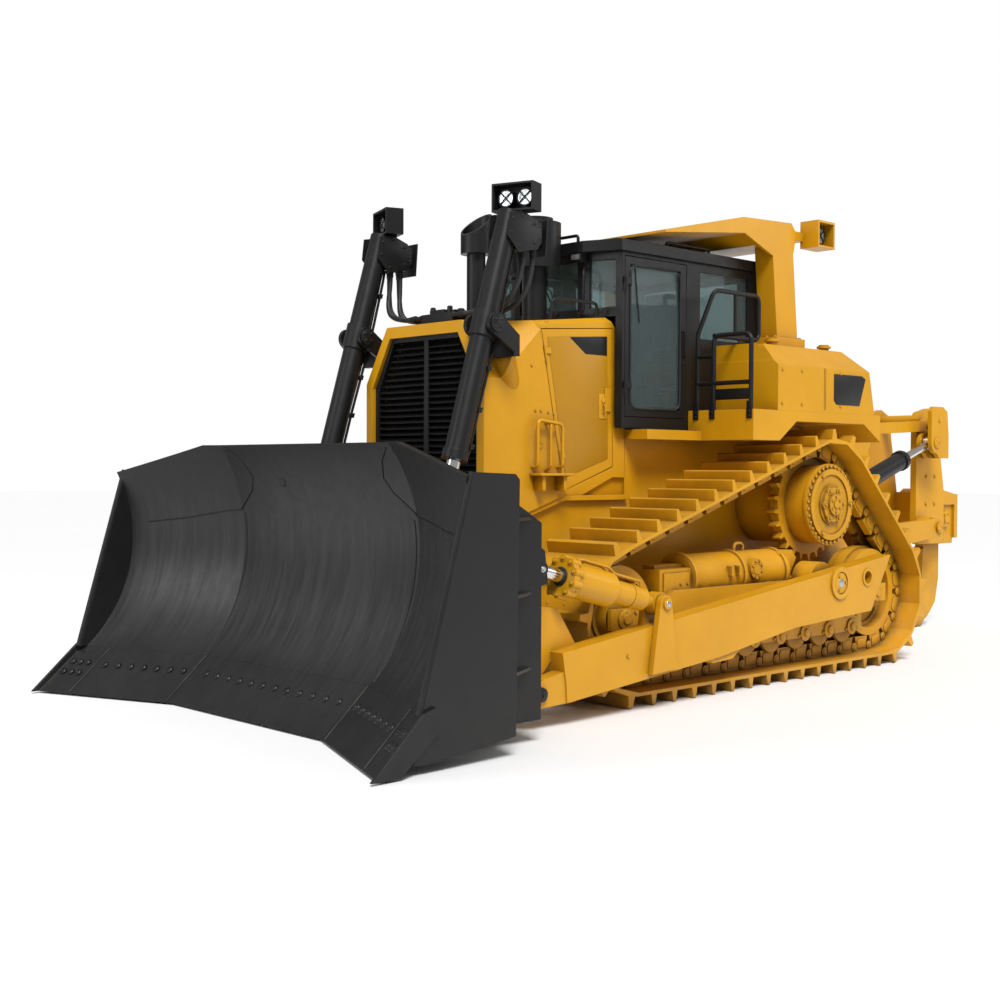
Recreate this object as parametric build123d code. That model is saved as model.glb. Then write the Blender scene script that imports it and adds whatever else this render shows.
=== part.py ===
"""Track-type bulldozer with a semi-U blade, high-drive tracks, a cab under a roll-over frame and a rear ripper.

Units are millimetres. +X is forward, +Y is left, +Z is up and the ground is at z = 0.
Places along X are given from the middle between the idlers; export moves them to the middle of the length.
"""
from build123d import *
import math
import os

# ---------------------------------------------------------------- driving dimensions
GAUGE = 2250            # between the middles of the two tracks
SHOE_WIDTH = 685
SHOE_COUNT = 43
GROUSER = 85            # height of the bar on each shoe
IDLER_X = 1735          # idler centres in front of and behind the middle
PIN_RADIUS = 471        # chain pins on the idlers
SPROCKET_X = -853
SPROCKET_Z = 1467
SPROCKET_PIN_RADIUS = 482.5
SPROCKET_TEETH = 25
RAIL_DROP = 71          # from the pin line in to the rail that the wheels run on
PLATE_RISE = 89         # from the pin line out to the shoe plates
PLATE_THICK = 27
BLADE_HALF = 2155       # half the width over the end bits
BLADE_TOP = 1940
EDGE_GROUND = 15        # cutting edge above the ground
WING_ANGLE = 22         # each wing of the blade turns forward by this
BIT_REACH = 44.07       # foremost point, ahead of the wing's tip line
PUSH_BLOCK_REAR_X = -5230   # rearmost point
SEAT = 0.3              # gap between round faces that carry each other
CASE_CLEARANCE = 142.5  # between the main case and each track
HUB_RADIUS = 345        # final-drive drum

# ---------------------------------------------------------------- places worked out from them
TRACK_Y = GAUGE / 2
TRACK_INNER_Y = TRACK_Y - SHOE_WIDTH / 2
TRACK_OUTER_Y = TRACK_Y + SHOE_WIDTH / 2
FRAME_HALF = TRACK_INNER_Y - CASE_CLEARANCE     # half the width of the main case between the tracks
IDLER_Z = PIN_RADIUS + PLATE_RISE + GROUSER
RAIL_Z = IDLER_Z - PIN_RADIUS + RAIL_DROP
KNEE_Y = 930            # bottom of the joint between the blade's centre and its wings
EDGE_TIP = (4231, EDGE_GROUND)
WING_REACH = (BLADE_HALF - KNEE_Y) * math.tan(math.radians(WING_ANGLE))     # from the centre's edge to the wing's end
END_BIT_TIP_X = EDGE_TIP[0] + WING_REACH + BIT_REACH
LENGTH_MIDDLE = (END_BIT_TIP_X + PUSH_BLOCK_REAR_X) / 2

# ---------------------------------------------------------------- shaping helpers
PLACE = {"x": lambda a, b, c: (c, a, b), "y": lambda a, b, c: (a, c, b), "z": lambda a, b, c: (a, b, c)}
ALONG = {"x": (1, 0, 0), "y": (0, 1, 0), "z": (0, 0, 1)}


def prism(axis, outline, low, high):
    """Closed outline, given in the other two axes, carried along one axis from low to high."""
    place = PLACE[axis]
    face = make_face(Polyline(*[place(a, b, low) for a, b in outline], close=True))
    return extrude(face, amount=high - low, dir=ALONG[axis])


def block(x0, x1, y0, y1, z0, z1):
    return Pos((x0 + x1) / 2, (y0 + y1) / 2, (z0 + z1) / 2) * Box(x1 - x0, y1 - y0, z1 - z0)


def rod(start, end, radius):
    """Round bar between two points."""
    start, end = Vector(*start), Vector(*end)
    plane = Plane(origin=start, z_dir=end - start)
    return plane * Cylinder(radius, (end - start).length, align=(Align.CENTER, Align.CENTER, Align.MIN))


def disc(x, z, radius, y0, y1):
    """Round piece with its axis along Y."""
    return rod((x, y0, z), (x, y1, z), radius)


def tube(x, z, outer, inner, y0, y1):
    return disc(x, z, outer, y0, y1) - disc(x, z, inner, y0 - 1, y1 + 1)


def both_sides(shape):
    """The shape and its mirror image on the other side of the machine."""
    return [shape, shape.mirror(Plane.XZ)]


def joined(*shapes):
    """One solid from pieces that overlap or share faces."""
    result = shapes[0]
    for shape in shapes[1:]:
        result = result + shape
    return result


def pipe(points, radius, bend):
    """Bent pipe through the points, with the same bend at each corner."""
    path = FilletPolyline(*points, radius=bend)
    section = Plane(origin=path @ 0, z_dir=path % 0) * Circle(radius)
    return sweep(section, path=path)


def export(name, shapes):
    solids = []
    for shape in shapes if isinstance(shapes, list) else [shapes]:
        solids += shape.solids()
    moved = [Pos(-LENGTH_MIDDLE, 0, 0) * solid for solid in solids]
    export_step(Compound(label=name, children=moved), f"parts/{name}.step")


# ---------------------------------------------------------------- track path
class TrackPath:
    """Chain line round the front idler, the raised sprocket and the rear idler, in the XZ plane."""

    def __init__(self):
        wheels = [(IDLER_X, IDLER_Z, PIN_RADIUS), (SPROCKET_X, SPROCKET_Z, SPROCKET_PIN_RADIUS),
                  (-IDLER_X, IDLER_Z, PIN_RADIUS)]
        count = len(wheels)
        leaving = []
        for here, there in zip(wheels, wheels[1:] + wheels[:1]):
            dx, dz = there[0] - here[0], there[1] - here[1]
            leaving.append(math.atan2(dz, dx) - math.pi / 2
                           + math.asin((here[2] - there[2]) / math.hypot(dx, dz)))
        self.arcs = []
        for index, wheel in enumerate(wheels):
            start = leaving[index - 1]
            sweep_angle = (leaving[index] - start) % (2 * math.pi)
            self.arcs.append((wheel, start, sweep_angle))
        self.pieces = []
        for index in range(count):
            (x, z, radius), start, turn = self.arcs[index]
            end = start + turn
            nx, nz, next_radius = self.arcs[(index + 1) % count][0]
            out = (math.cos(end), math.sin(end))
            first = (x + radius * out[0], z + radius * out[1])
            last = (nx + next_radius * out[0], nz + next_radius * out[1])
            self.pieces.append(("arc", radius * turn, (x, z, radius, start)))
            self.pieces.append(("run", math.dist(first, last), (first, last, out)))
        self.length = sum(piece[1] for piece in self.pieces)

    def point(self, distance, out):
        """Place at a distance along the chain line, moved outward from it."""
        distance %= self.length
        for kind, length, data in self.pieces:
            if distance <= length:
                break
            distance -= length
        if kind == "arc":
            x, z, radius, start = data
            angle = start + distance / radius
            return (x + (radius + out) * math.cos(angle), z + (radius + out) * math.sin(angle))
        first, last, normal = data
        share = distance / length
        return (first[0] + share * (last[0] - first[0]) + out * normal[0],
                first[1] + share * (last[1] - first[1]) + out * normal[1])

    def face(self, out, y):
        """Flat face inside the chain line moved outward, with true arcs and runs."""
        edges = []
        for index, ((x, z, radius), start, turn) in enumerate(self.arcs):
            spots = [(x + (radius + out) * math.cos(a), y, z + (radius + out) * math.sin(a))
                     for a in (start, start + turn / 2, start + turn)]
            edges.append(ThreePointArc(*spots))
            nx, nz, next_radius = self.arcs[(index + 1) % len(self.arcs)][0]
            end = start + turn
            edges.append(Line(spots[2], (nx + (next_radius + out) * math.cos(end), y,
                                         nz + (next_radius + out) * math.sin(end))))
        return make_face(Wire(edges))


PATH = TrackPath()
PITCH = PATH.length / SHOE_COUNT
GROUSER_THICK = 30      # at the top of each bar
GROUSER_FOOT = 16       # by which each side of a bar widens towards its plate
LINK_GAP = 34           # between one link of the chain and the next
RAIL_INNER = 52         # rails of the chain, from the track's middle
RAIL_OUTER = 122
LINK_NOTCH = -12        # depth that each gap reaches to, from the pin line


def track(side):
    """Endless loop of shoes with bars, fused to the two rails of its chain."""
    outer = []
    for index in range(SHOE_COUNT):
        start = index * PITCH
        bar = start + 0.22 * PITCH
        outer += [PATH.point(start, PLATE_RISE),
                  PATH.point(bar - GROUSER_FOOT, PLATE_RISE),
                  PATH.point(bar, PLATE_RISE + GROUSER),
                  PATH.point(bar + GROUSER_THICK, PLATE_RISE + GROUSER),
                  PATH.point(bar + GROUSER_THICK + GROUSER_FOOT, PLATE_RISE)]
    inner = [PATH.point(index * PITCH, PLATE_RISE - PLATE_THICK) for index in range(SHOE_COUNT)]
    shoes = prism("y", outer, TRACK_INNER_Y, TRACK_OUTER_Y) - prism("y", inner, TRACK_INNER_Y - 1, TRACK_OUTER_Y + 1)
    loop = shoes
    for low, high in ((-RAIL_OUTER, -RAIL_INNER), (RAIL_INNER, RAIL_OUTER)):
        solid = extrude(PATH.face(PLATE_RISE - PLATE_THICK, TRACK_Y + low), amount=high - low, dir=(0, 1, 0))
        hollow = extrude(PATH.face(-RAIL_DROP, TRACK_Y + low - 1), amount=high - low + 2, dir=(0, 1, 0))
        loop = loop + (solid - hollow)
    notches = []
    for index in range(SHOE_COUNT):
        middle = (index + 0.62) * PITCH
        notches.append(prism("y", [PATH.point(middle - LINK_GAP / 2, -RAIL_DROP - 20), PATH.point(middle + LINK_GAP / 2, -RAIL_DROP - 20),
                                   PATH.point(middle + LINK_GAP, LINK_NOTCH), PATH.point(middle - LINK_GAP, LINK_NOTCH)],
                             TRACK_Y - RAIL_OUTER - 1, TRACK_Y + RAIL_OUTER + 1))
    loop = loop - notches
    return loop if side > 0 else loop.mirror(Plane.XZ)


# ---------------------------------------------------------------- wheels inside the track
IDLER_RADIUS = PIN_RADIUS - RAIL_DROP - SEAT
ROLLER_COUNT = 8
IDLER_TO_ROLLER = PIN_RADIUS + 11       # between the idlers' and the end rollers' middles
ROLLER_STEP = 2 * (IDLER_X - IDLER_TO_ROLLER) / (ROLLER_COUNT - 1)
ROLLER_RADIUS = 128
SIDE_RAIL_INNER = 200   # side plates that hold the rollers, from the track's middle
YOKE_INNER = 165        # plates that hold the idlers, from the track's middle


def idlers():
    """Front and rear idlers: two treads, a guide flange between the rails and a dished web."""
    result = []
    for x in (IDLER_X, -IDLER_X):
        wheel = tube(x, IDLER_Z, IDLER_RADIUS, IDLER_RADIUS - 70, TRACK_Y - 125, TRACK_Y + 125)
        wheel = wheel + disc(x, IDLER_Z, IDLER_RADIUS + 22, TRACK_Y - 45, TRACK_Y + 45)
        for y in (25, -65):
            wheel = wheel - tube(x, IDLER_Z, IDLER_RADIUS - 110, 190, TRACK_Y + y, TRACK_Y + y + 40)
        wheel = wheel + disc(x, IDLER_Z, 150, TRACK_Y - 140, TRACK_Y + 140)
        wheel = wheel + disc(x, IDLER_Z, 60, TRACK_Y - YOKE_INNER + SEAT, TRACK_Y + YOKE_INNER - SEAT)
        result += both_sides(wheel)
    return result


def track_rollers():
    """Lower rollers with their flanges outside the rails."""
    result = []
    z = RAIL_Z + ROLLER_RADIUS + SEAT
    for index in range(ROLLER_COUNT):
        x = (index - (ROLLER_COUNT - 1) / 2) * ROLLER_STEP
        roller = disc(x, z, ROLLER_RADIUS, TRACK_Y - RAIL_OUTER, TRACK_Y + RAIL_OUTER)
        for y in (RAIL_OUTER + 4, -RAIL_OUTER - 34):
            roller = roller + disc(x, z, ROLLER_RADIUS + 20, TRACK_Y + y, TRACK_Y + y + 30)
        roller = roller + disc(x, z, 60, TRACK_Y - SIDE_RAIL_INNER + SEAT, TRACK_Y + SIDE_RAIL_INNER - SEAT)
        result += both_sides(roller)
    return result


def sprockets():
    """Toothed rings that run between the rails of the chain."""
    root = SPROCKET_PIN_RADIUS - 42
    tip = SPROCKET_PIN_RADIUS + 14
    outline = []
    for index in range(SPROCKET_TEETH):
        step = 2 * math.pi / SPROCKET_TEETH
        for share, radius in ((0.0, root), (0.28, root), (0.44, tip), (0.56, tip), (0.72, root)):
            angle = (index + share) * step
            outline.append((SPROCKET_X + radius * math.cos(angle), SPROCKET_Z + radius * math.sin(angle)))
    ring = prism("y", outline, TRACK_Y - 42, TRACK_Y + 42)
    ring = ring - disc(SPROCKET_X, SPROCKET_Z, HUB_RADIUS, TRACK_Y - 50, TRACK_Y + 50)
    return both_sides(ring)


HUB_FACE_Y = TRACK_Y + 270      # outer face of each drum
DRIVE_BOSSES = 6


def final_drives():
    """Drive drum through each sprocket, with a rim, a lobed cover and a cap at its outer end."""
    drum = disc(SPROCKET_X, SPROCKET_Z, HUB_RADIUS, FRAME_HALF, HUB_FACE_Y)
    rim = disc(SPROCKET_X, SPROCKET_Z, HUB_RADIUS + 10, HUB_FACE_Y - 30, HUB_FACE_Y)
    face = disc(SPROCKET_X, SPROCKET_Z, HUB_RADIUS - 35, HUB_FACE_Y, HUB_FACE_Y + 22)
    face = face - tube(SPROCKET_X, SPROCKET_Z, HUB_RADIUS - 85, 175, HUB_FACE_Y + 8, HUB_FACE_Y + 30)
    cover = disc(SPROCKET_X, SPROCKET_Z, 150, HUB_FACE_Y, HUB_FACE_Y + 45)
    cap = disc(SPROCKET_X, SPROCKET_Z, 92, HUB_FACE_Y + 45, HUB_FACE_Y + 67)
    bosses = []
    for index in range(DRIVE_BOSSES):
        angle = 2 * math.pi * index / DRIVE_BOSSES
        bosses.append(disc(SPROCKET_X + 135 * math.cos(angle), SPROCKET_Z + 135 * math.sin(angle), 34, HUB_FACE_Y, HUB_FACE_Y + 50))
    return both_sides(joined(drum, rim, face, cover, cap, *bosses))


# ---------------------------------------------------------------- roller frames
ARM_CLEARANCE = 32.5    # between each track and its push arm
ARM_WIDTH = 150
TRUNNION_X = -630
TRUNNION_Z = 811
ARM_INNER_Y = TRACK_OUTER_Y + ARM_CLEARANCE
ARM_OUTER_Y = ARM_INNER_Y + ARM_WIDTH


def roller_frames():
    """Beam over the rollers with the recoil housing on top and the trunnion for the push arm."""
    end = IDLER_X - PIN_RADIUS + 16
    beam = prism("y", [(-end, 560), (-end, 700), (100 - end, 830), (end - 100, 830), (end, 760), (end, 560)],
                 TRACK_Y - 210, TRACK_Y + 210)
    rail_end = IDLER_X - IDLER_TO_ROLLER + 167
    rail = [(-rail_end, 330), (-rail_end, 500), (90 - rail_end, 562), (rail_end - 90, 562), (rail_end, 500),
            (rail_end, 330)]
    side = prism("y", rail, TRACK_Y + SIDE_RAIL_INNER, TRACK_Y + SIDE_RAIL_INNER + 40)
    inner_side = prism("y", rail, TRACK_Y - SIDE_RAIL_INNER - 40, TRACK_Y - SIDE_RAIL_INNER)
    housing = rod((-400, TRACK_Y, 905), (end - 380, TRACK_Y, 905), 185)
    for x in (-360, 220, end - 420):
        housing = housing + rod((x, TRACK_Y, 905), (x + 34, TRACK_Y, 905), 200)
    saddle = prism("y", [(-430, 800), (-560, 1010), (-500, 1080), (-330, 1080), (-260, 1000), (-200, 800)], TRACK_Y - 130,
                   TRACK_Y + 130)
    cover = disc(108, 949, 84, TRACK_Y, TRACK_Y + 212)
    ears = [block(x, x + 34, TRACK_Y + 120, TRACK_Y + 222, 905, 985) for x in (330, 430)]
    eye = pipe([(30, TRACK_Y, 1060), (30, TRACK_Y, 1150), (150, TRACK_Y, 1150), (150, TRACK_Y, 1060)], 14, 40)
    box = block(end - 381, end, TRACK_Y - 150, TRACK_Y + 150, 700, 990)
    box = box + block(end - 381, end - 40, TRACK_Y - 60, TRACK_Y + 60, 980, 1018)
    box = box + block(end - 350, end - 40, TRACK_Y + 140, TRACK_Y + 162, 800, 960)
    trunnion = disc(TRUNNION_X, TRUNNION_Z, 95, TRACK_Y + 150, ARM_OUTER_Y + 5)
    boss = disc(TRUNNION_X, TRUNNION_Z, 170, TRACK_Y + 150, ARM_INNER_Y - 30)
    yokes = []
    for way in (1, -1):
        for y in (-YOKE_INNER - 35, YOKE_INNER):
            near, far = sorted((way * (end - 30), way * (IDLER_X + 155)))
            yokes.append(block(near, far,
                               TRACK_Y + y, TRACK_Y + y + 35, IDLER_Z - 80, IDLER_Z + 80))
    frame = joined(beam, side, inner_side, housing, saddle, cover, eye, box, boss, trunnion, *ears, *yokes)
    return both_sides(frame)


# ---------------------------------------------------------------- main frame and engine end
GUARD_HALF = 700        # radiator guard, half width at its front
FLAT_HALF = GUARD_HALF - 260    # half width of the guard's flat top
GUARD_FRONT_X = 2600
GUARD_TOP = 2880
GUARD_BLEND_X = 2430    # behind this the chamfered corners run out towards the hood
HOOD_HALF = GUARD_HALF - 45
HOOD_REAR_X = 1000
SKIN = 25               # sheet of the hood and guard
HOOD_CHAMFER = 38       # along the hood's top edges
SEAM_LOW = (1745, 1560)     # slanted joint between guard and hood, in XZ
SEAM_HIGH = (2035, 2905)
HOOD_CREST = (1200, 2990)
SEAM_GAP = 8
HOOD_TOP_FRONT_X = SEAM_HIGH[0] - SEAM_GAP
GUARD_TOE = (2560, 1300)     # front end of the seat that the guard stands on
CASE_FLOOR_Z = 600
TOW_X = 2670            # vertical tow pin at the nose
TOW_BORE = 32
TOW_LOW_Z, TOW_HIGH_Z = 990, 1190
TOW_EAR = 45
YOKE_X = 2655           # cross axis of the lift cylinders
YOKE_Y = GUARD_HALF + 60
YOKE_Z = 2815


def main_frame():
    """Case between the tracks, with the sloping guard plate under the front, pivot shaft and front bar."""
    case = prism("y", [(-2400, 850), (-2400, 1900), (-1850, CAB_FLOOR_Z), (980, CAB_FLOOR_Z), (980, SEAM_LOW[1]),
                       SEAM_LOW, GUARD_TOE, (GUARD_TOE[0], 950), (2150, CASE_FLOOR_Z), (-2050, CASE_FLOOR_Z)],
                 -FRAME_HALF, FRAME_HALF)
    ledge = prism("y", [(980, SEAM_LOW[1] - 40), (980, SEAM_LOW[1]), SEAM_LOW, GUARD_TOE,
                        (GUARD_TOE[0] - 60, GUARD_TOE[1] - 10), (SEAM_LOW[0] - 20, SEAM_LOW[1] - 40)],
                  15 - GUARD_HALF, GUARD_HALF - 15)
    shaft = disc(-250, 760, 110, -TRACK_Y + 210, TRACK_Y - 210)
    bar = block(1000, 1200, -TRACK_Y + 210, TRACK_Y - 210, 610, 760)
    tow_eye = block(GUARD_TOE[0] - 10, TOW_X + 70, -80, 80, TOW_LOW_Z, TOW_HIGH_Z)
    tow_eye = tow_eye - block(TOW_X - 80, TOW_X + 71, -81, 81, TOW_LOW_Z + TOW_EAR, TOW_HIGH_Z - TOW_EAR)
    frame = joined(case, ledge, shaft, bar, tow_eye)
    return frame - rod((TOW_X, 0, TOW_LOW_Z - 1), (TOW_X, 0, TOW_HIGH_Z + 1), TOW_BORE)


def engine_block():
    return block(1080, 1740, -400, 400, SEAM_LOW[1], 2650)


def radiator_guard():
    """Deep front frame with chamfered top corners, open for the grille, and stubs for the lift yokes."""
    outline = [(-GUARD_HALF, GUARD_TOE[1]), (GUARD_HALF, GUARD_TOE[1]), (GUARD_HALF, 2440), (FLAT_HALF, GUARD_TOP),
               (-FLAT_HALF, GUARD_TOP), (-GUARD_HALF, 2440)]
    front = prism("x", outline, GUARD_BLEND_X, GUARD_FRONT_X)
    rear = [(-GUARD_HALF, GUARD_TOE[1]), (GUARD_HALF, GUARD_TOE[1]), (GUARD_HALF, SEAM_HIGH[1] - 70), (GUARD_HALF - 60, SEAM_HIGH[1]),
            (60 - GUARD_HALF, SEAM_HIGH[1]), (-GUARD_HALF, SEAM_HIGH[1] - 70)]
    sections = [make_face(Polyline(*[(x, y, z) for y, z in shape], close=True)) for x, shape in
                ((GUARD_BLEND_X, outline), (SEAM_HIGH[0] - 20, rear))]
    shell = joined(front, loft(sections, ruled=True), prism("x", rear, 1600, SEAM_HIGH[0] - 20))
    inner = [(-GUARD_HALF + 80, SEAM_LOW[1]), (GUARD_HALF - 80, SEAM_LOW[1]), (GUARD_HALF - 80, 2405),
             (FLAT_HALF - 35, GUARD_TOP - 90), (35 - FLAT_HALF, GUARD_TOP - 90), (-GUARD_HALF + 80, 2405)]
    shell = shell - prism("x", inner, 1590, GUARD_FRONT_X + 1)
    keep = prism("y", [SEAM_LOW, SEAM_HIGH, (GUARD_FRONT_X, SEAM_HIGH[1]), (GUARD_FRONT_X, GUARD_TOE[1]), GUARD_TOE],
                 -GUARD_HALF - 1, GUARD_HALF + 1)
    shell = shell & keep
    stubs = []
    for side in (1, -1):
        stubs.append(rod((YOKE_X - 360, side * (GUARD_HALF - 90), YOKE_Z - 400),
                         (YOKE_X - 180, side * (YOKE_Y - 20), YOKE_Z - 140), 105))
    cut_back = block(2430, 3000, -1000, 1000, 2200, 3000) - prism("x", outline, 2420, GUARD_FRONT_X)
    return joined(shell, *[stub - cut_back for stub in stubs])


def grille():
    """Louvres across the front with a centre post."""
    half = GUARD_HALF - 80
    slab = prism("x", [(-half + 1, SEAM_LOW[1]), (half - 1, SEAM_LOW[1]), (half - 1, 2404), (FLAT_HALF - 36, GUARD_TOP - 91),
                       (36 - FLAT_HALF, GUARD_TOP - 91), (-half + 1, 2404)], GUARD_FRONT_X - 100, GUARD_FRONT_X - 30)
    gap = prism("x", [(-half + 40, 1580), (half - 40, 1580), (half - 40, 2380), (FLAT_HALF - 50, GUARD_TOP - 125),
                      (50 - FLAT_HALF, GUARD_TOP - 125), (-half + 40, 2380)], GUARD_FRONT_X - 101, GUARD_FRONT_X - 29)
    frame = slab - gap
    post = block(GUARD_FRONT_X - 95, GUARD_FRONT_X - 35, -25, 25, 1570, GUARD_TOP - 110)
    louvres = []
    for index in range(LOUVRES):
        z = 1620 + index * LOUVRE_STEP
        half_here = min(half - 30, half - 30 - max(0, z - 2350) * 0.55)
        louvres.append(prism("y", [(GUARD_FRONT_X - 90, z), (GUARD_FRONT_X - 45, z - 28), (GUARD_FRONT_X - 40, z - 20),
                                   (GUARD_FRONT_X - 85, z + 8)], -half_here, half_here))
    return joined(frame, post, *louvres)


LOUVRES = 24
LOUVRE_STEP = 48
DOOR_GAP = 6            # round each door
ENGINE_DOOR = [(1705, 1600), (1960, 2840), (1160, 2900), (1145, 1790)]
PIANO_OFF = 8           # engine door hinge axis, ahead of the door's front edge
PIANO_Y = HOOD_HALF + 12
PIANO_RADIUS = 11
PIANO_SPOTS = (0.15, 0.8)   # hinges, as shares of the door's front edge


def piano_point(distance):
    """Place along the engine door's hinge axis."""
    (x0, z0), (x1, z1) = ENGINE_DOOR[0], ENGINE_DOOR[1]
    length = math.dist((x0, z0), (x1, z1))
    return (x0 + PIANO_OFF + (x1 - x0) * distance / length, PIANO_Y, z0 + (z1 - z0) * distance / length)


def piano_knuckles(first, last, start, end):
    """Hinge knuckles on the engine door's axis, each with a strap whose foot lies from start to end past the axis."""
    (x0, z0), (x1, z1) = ENGINE_DOOR[0], ENGINE_DOOR[1]
    length = math.dist((x0, z0), (x1, z1))
    result = []
    for share in PIANO_SPOTS:
        low, high = piano_point(share * length + first), piano_point(share * length + last)
        knuckle = rod(low, high, PIANO_RADIUS)
        low, high = piano_point(share * length + first + 5), piano_point(share * length + last - 5)
        for a, b, y in ((start, end, HOOD_HALF - 1), (min(0, start), max(0, end), HOOD_HALF + 2)):
            strap = [(low[0] + a, low[2]), (high[0] + a, high[2]), (high[0] + b, high[2]), (low[0] + b, low[2])]
            knuckle = knuckle + prism("y", strap, y, HOOD_HALF + 10)
        result.append(knuckle)
    return result


def hood():
    """Engine cover: sheet sides with an opening for each door, and a top that rises to the rear."""
    outline = [(SEAM_LOW[0] - SEAM_GAP, SEAM_LOW[1]), (HOOD_TOP_FRONT_X, SEAM_HIGH[1]), HOOD_CREST,
               (HOOD_REAR_X, 2790), (HOOD_REAR_X, 1700), (1145, 1700), (1500, 1560)]
    outer = prism("y", outline, -HOOD_HALF, HOOD_HALF)
    crown = [edge for edge in outer.edges() if abs(abs(edge.center().Y) - HOOD_HALF) < 1 and edge.center().Z > SEAM_HIGH[1]
             and abs(edge.tangent_at(0.5).X) > 0.9 and edge.center().X > HOOD_CREST[0]]
    outer = chamfer(crown, HOOD_CHAMFER)
    inner = prism("y", [(2200, 1500), (2200, 2860), (1200, 2962), (HOOD_REAR_X + SKIN, 2780),
                        (HOOD_REAR_X + SKIN, 1500)], -HOOD_HALF + SKIN, HOOD_HALF - SKIN)
    opening = prism("y", grown(ENGINE_DOOR, DOOR_GAP), -HOOD_HALF - 1, HOOD_HALF + 1)
    shell = outer - inner - opening
    for knuckle in piano_knuckles(0, 60, 0, 26):
        shell = joined(shell, *both_sides(knuckle))
    return shell


def grown(outline, amount):
    """Outline of a convex panel moved outward about its middle, for the gap round it."""
    middle_x = sum(a for a, _ in outline) / len(outline)
    middle_z = sum(b for _, b in outline) / len(outline)
    return [(a + math.copysign(amount, a - middle_x), b + math.copysign(amount, b - middle_z)) for a, b in outline]


def engine_door(side):
    panel = prism("y", ENGINE_DOOR, HOOD_HALF - SKIN, HOOD_HALF)
    latch = block(1180, 1250, HOOD_HALF, HOOD_HALF + 14, 2230, 2420)
    door = joined(panel, latch, *piano_knuckles(60 + SEAT, 120, -70, -PIANO_OFF))
    return door if side > 0 else door.mirror(Plane.XZ)


STACK_X, STACK_Y = 2010, -40
STACK_RADIUS = 75
CLEANER_X, CLEANER_Y = 1540, 150
CLEANER_NECK = 100


def seated_on_hood(shape):
    """The shape with all that would lie in or under the hood and guard cut away."""
    slope = (HOOD_CREST[1] - SEAM_HIGH[1]) / (HOOD_TOP_FRONT_X - HOOD_CREST[0])
    rear = (HOOD_CREST[0] - 300, HOOD_CREST[1] + 300 * slope)
    below = prism("y", [rear, (HOOD_TOP_FRONT_X, SEAM_HIGH[1]), (GUARD_BLEND_X, GUARD_TOP), (GUARD_BLEND_X, 2000),
                        (rear[0], 2000)], -HOOD_HALF, HOOD_HALF)
    return shape - below


def exhaust_stack():
    """Pipe with a wider hood whose mouth is cut on a slant."""
    outlet = seated_on_hood(rod((STACK_X, STACK_Y, 2850), (STACK_X, STACK_Y, 3500), STACK_RADIUS))
    head = rod((STACK_X, STACK_Y, 3480), (STACK_X, STACK_Y, 3860), 125)
    bore = rod((STACK_X, STACK_Y, 3560), (STACK_X, STACK_Y, 3900), 110)
    wedge = prism("y", [(STACK_X + 140, 3610), (STACK_X + 140, 3900), (STACK_X - 140, 3900), (STACK_X - 140, 3830)],
                  STACK_Y - 150, STACK_Y + 150)
    return joined(outlet, head) - bore - wedge


def precleaner():
    """Drum on a neck that draws the engine's air."""
    neck = seated_on_hood(rod((CLEANER_X, CLEANER_Y, 2900), (CLEANER_X, CLEANER_Y, 3420), CLEANER_NECK))
    drum = rod((CLEANER_X, CLEANER_Y, 3390), (CLEANER_X, CLEANER_Y, 3760), 215)
    cap = rod((CLEANER_X, CLEANER_Y, 3760), (CLEANER_X, CLEANER_Y, 3800), 150)
    return joined(neck, drum, cap)


# ---------------------------------------------------------------- cab
CAB_HALF = HOOD_HALF + 95   # the cab is wider than the hood, so that its doors clear it
NOSE_HALF = CAB_HALF - 350      # half width of the flat part of the cab's front
CAB_WALL = 45
CAB_FLOOR_Z = 2100
CAB_TOP_Z = 3520
ROOF_THICK = 90
CAB_REAR_X = -660
CAB_FRONT_X = 1230
CAB_CORNER_X = 1140
DOOR_REAR_X = 335
DOOR_FRONT_X = 1105
DOOR_LOW_Z = 2195
DOOR_HIGH_Z = CAB_TOP_Z - 35
COWL_Z = 3015           # cab sill over the rear of the hood
DASH_X = 985            # cab front wall behind the hood
HINGE_X, HINGE_Y = DOOR_FRONT_X + 14, CAB_HALF + 17     # cab door hinge axis, outside the wall
HINGE_RADIUS = 15
HINGE_HIGH = 55         # height of each knuckle
HINGE_LEVELS = (2420, 3260)
GLASS = 8


def cab_plan(inset):
    half = CAB_HALF - inset
    return [(CAB_REAR_X + inset, -half), (CAB_CORNER_X - inset * 0.6, -half), (CAB_FRONT_X - inset, inset * 0.3 - NOSE_HALF),
            (CAB_FRONT_X - inset, NOSE_HALF - inset * 0.3), (CAB_CORNER_X - inset * 0.6, half), (CAB_REAR_X + inset, half)]


def corner_tool(depth_in, depth_out, trim, z0, z1):
    """Block across the slanted front corner, for its window and glass."""
    start = Vector(CAB_CORNER_X, CAB_HALF)
    end = Vector(CAB_FRONT_X, NOSE_HALF)
    along = (end - start).normalized()
    normal = Vector(-along.Y, along.X) * -1
    if normal.X < 0:
        normal = normal * -1
    first = start + along * trim
    last = end - along * trim
    return prism("z", [tuple(first + normal * depth_out)[:2], tuple(last + normal * depth_out)[:2],
                       tuple(last - normal * depth_in)[:2], tuple(first - normal * depth_in)[:2]], z0, z1)


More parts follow.
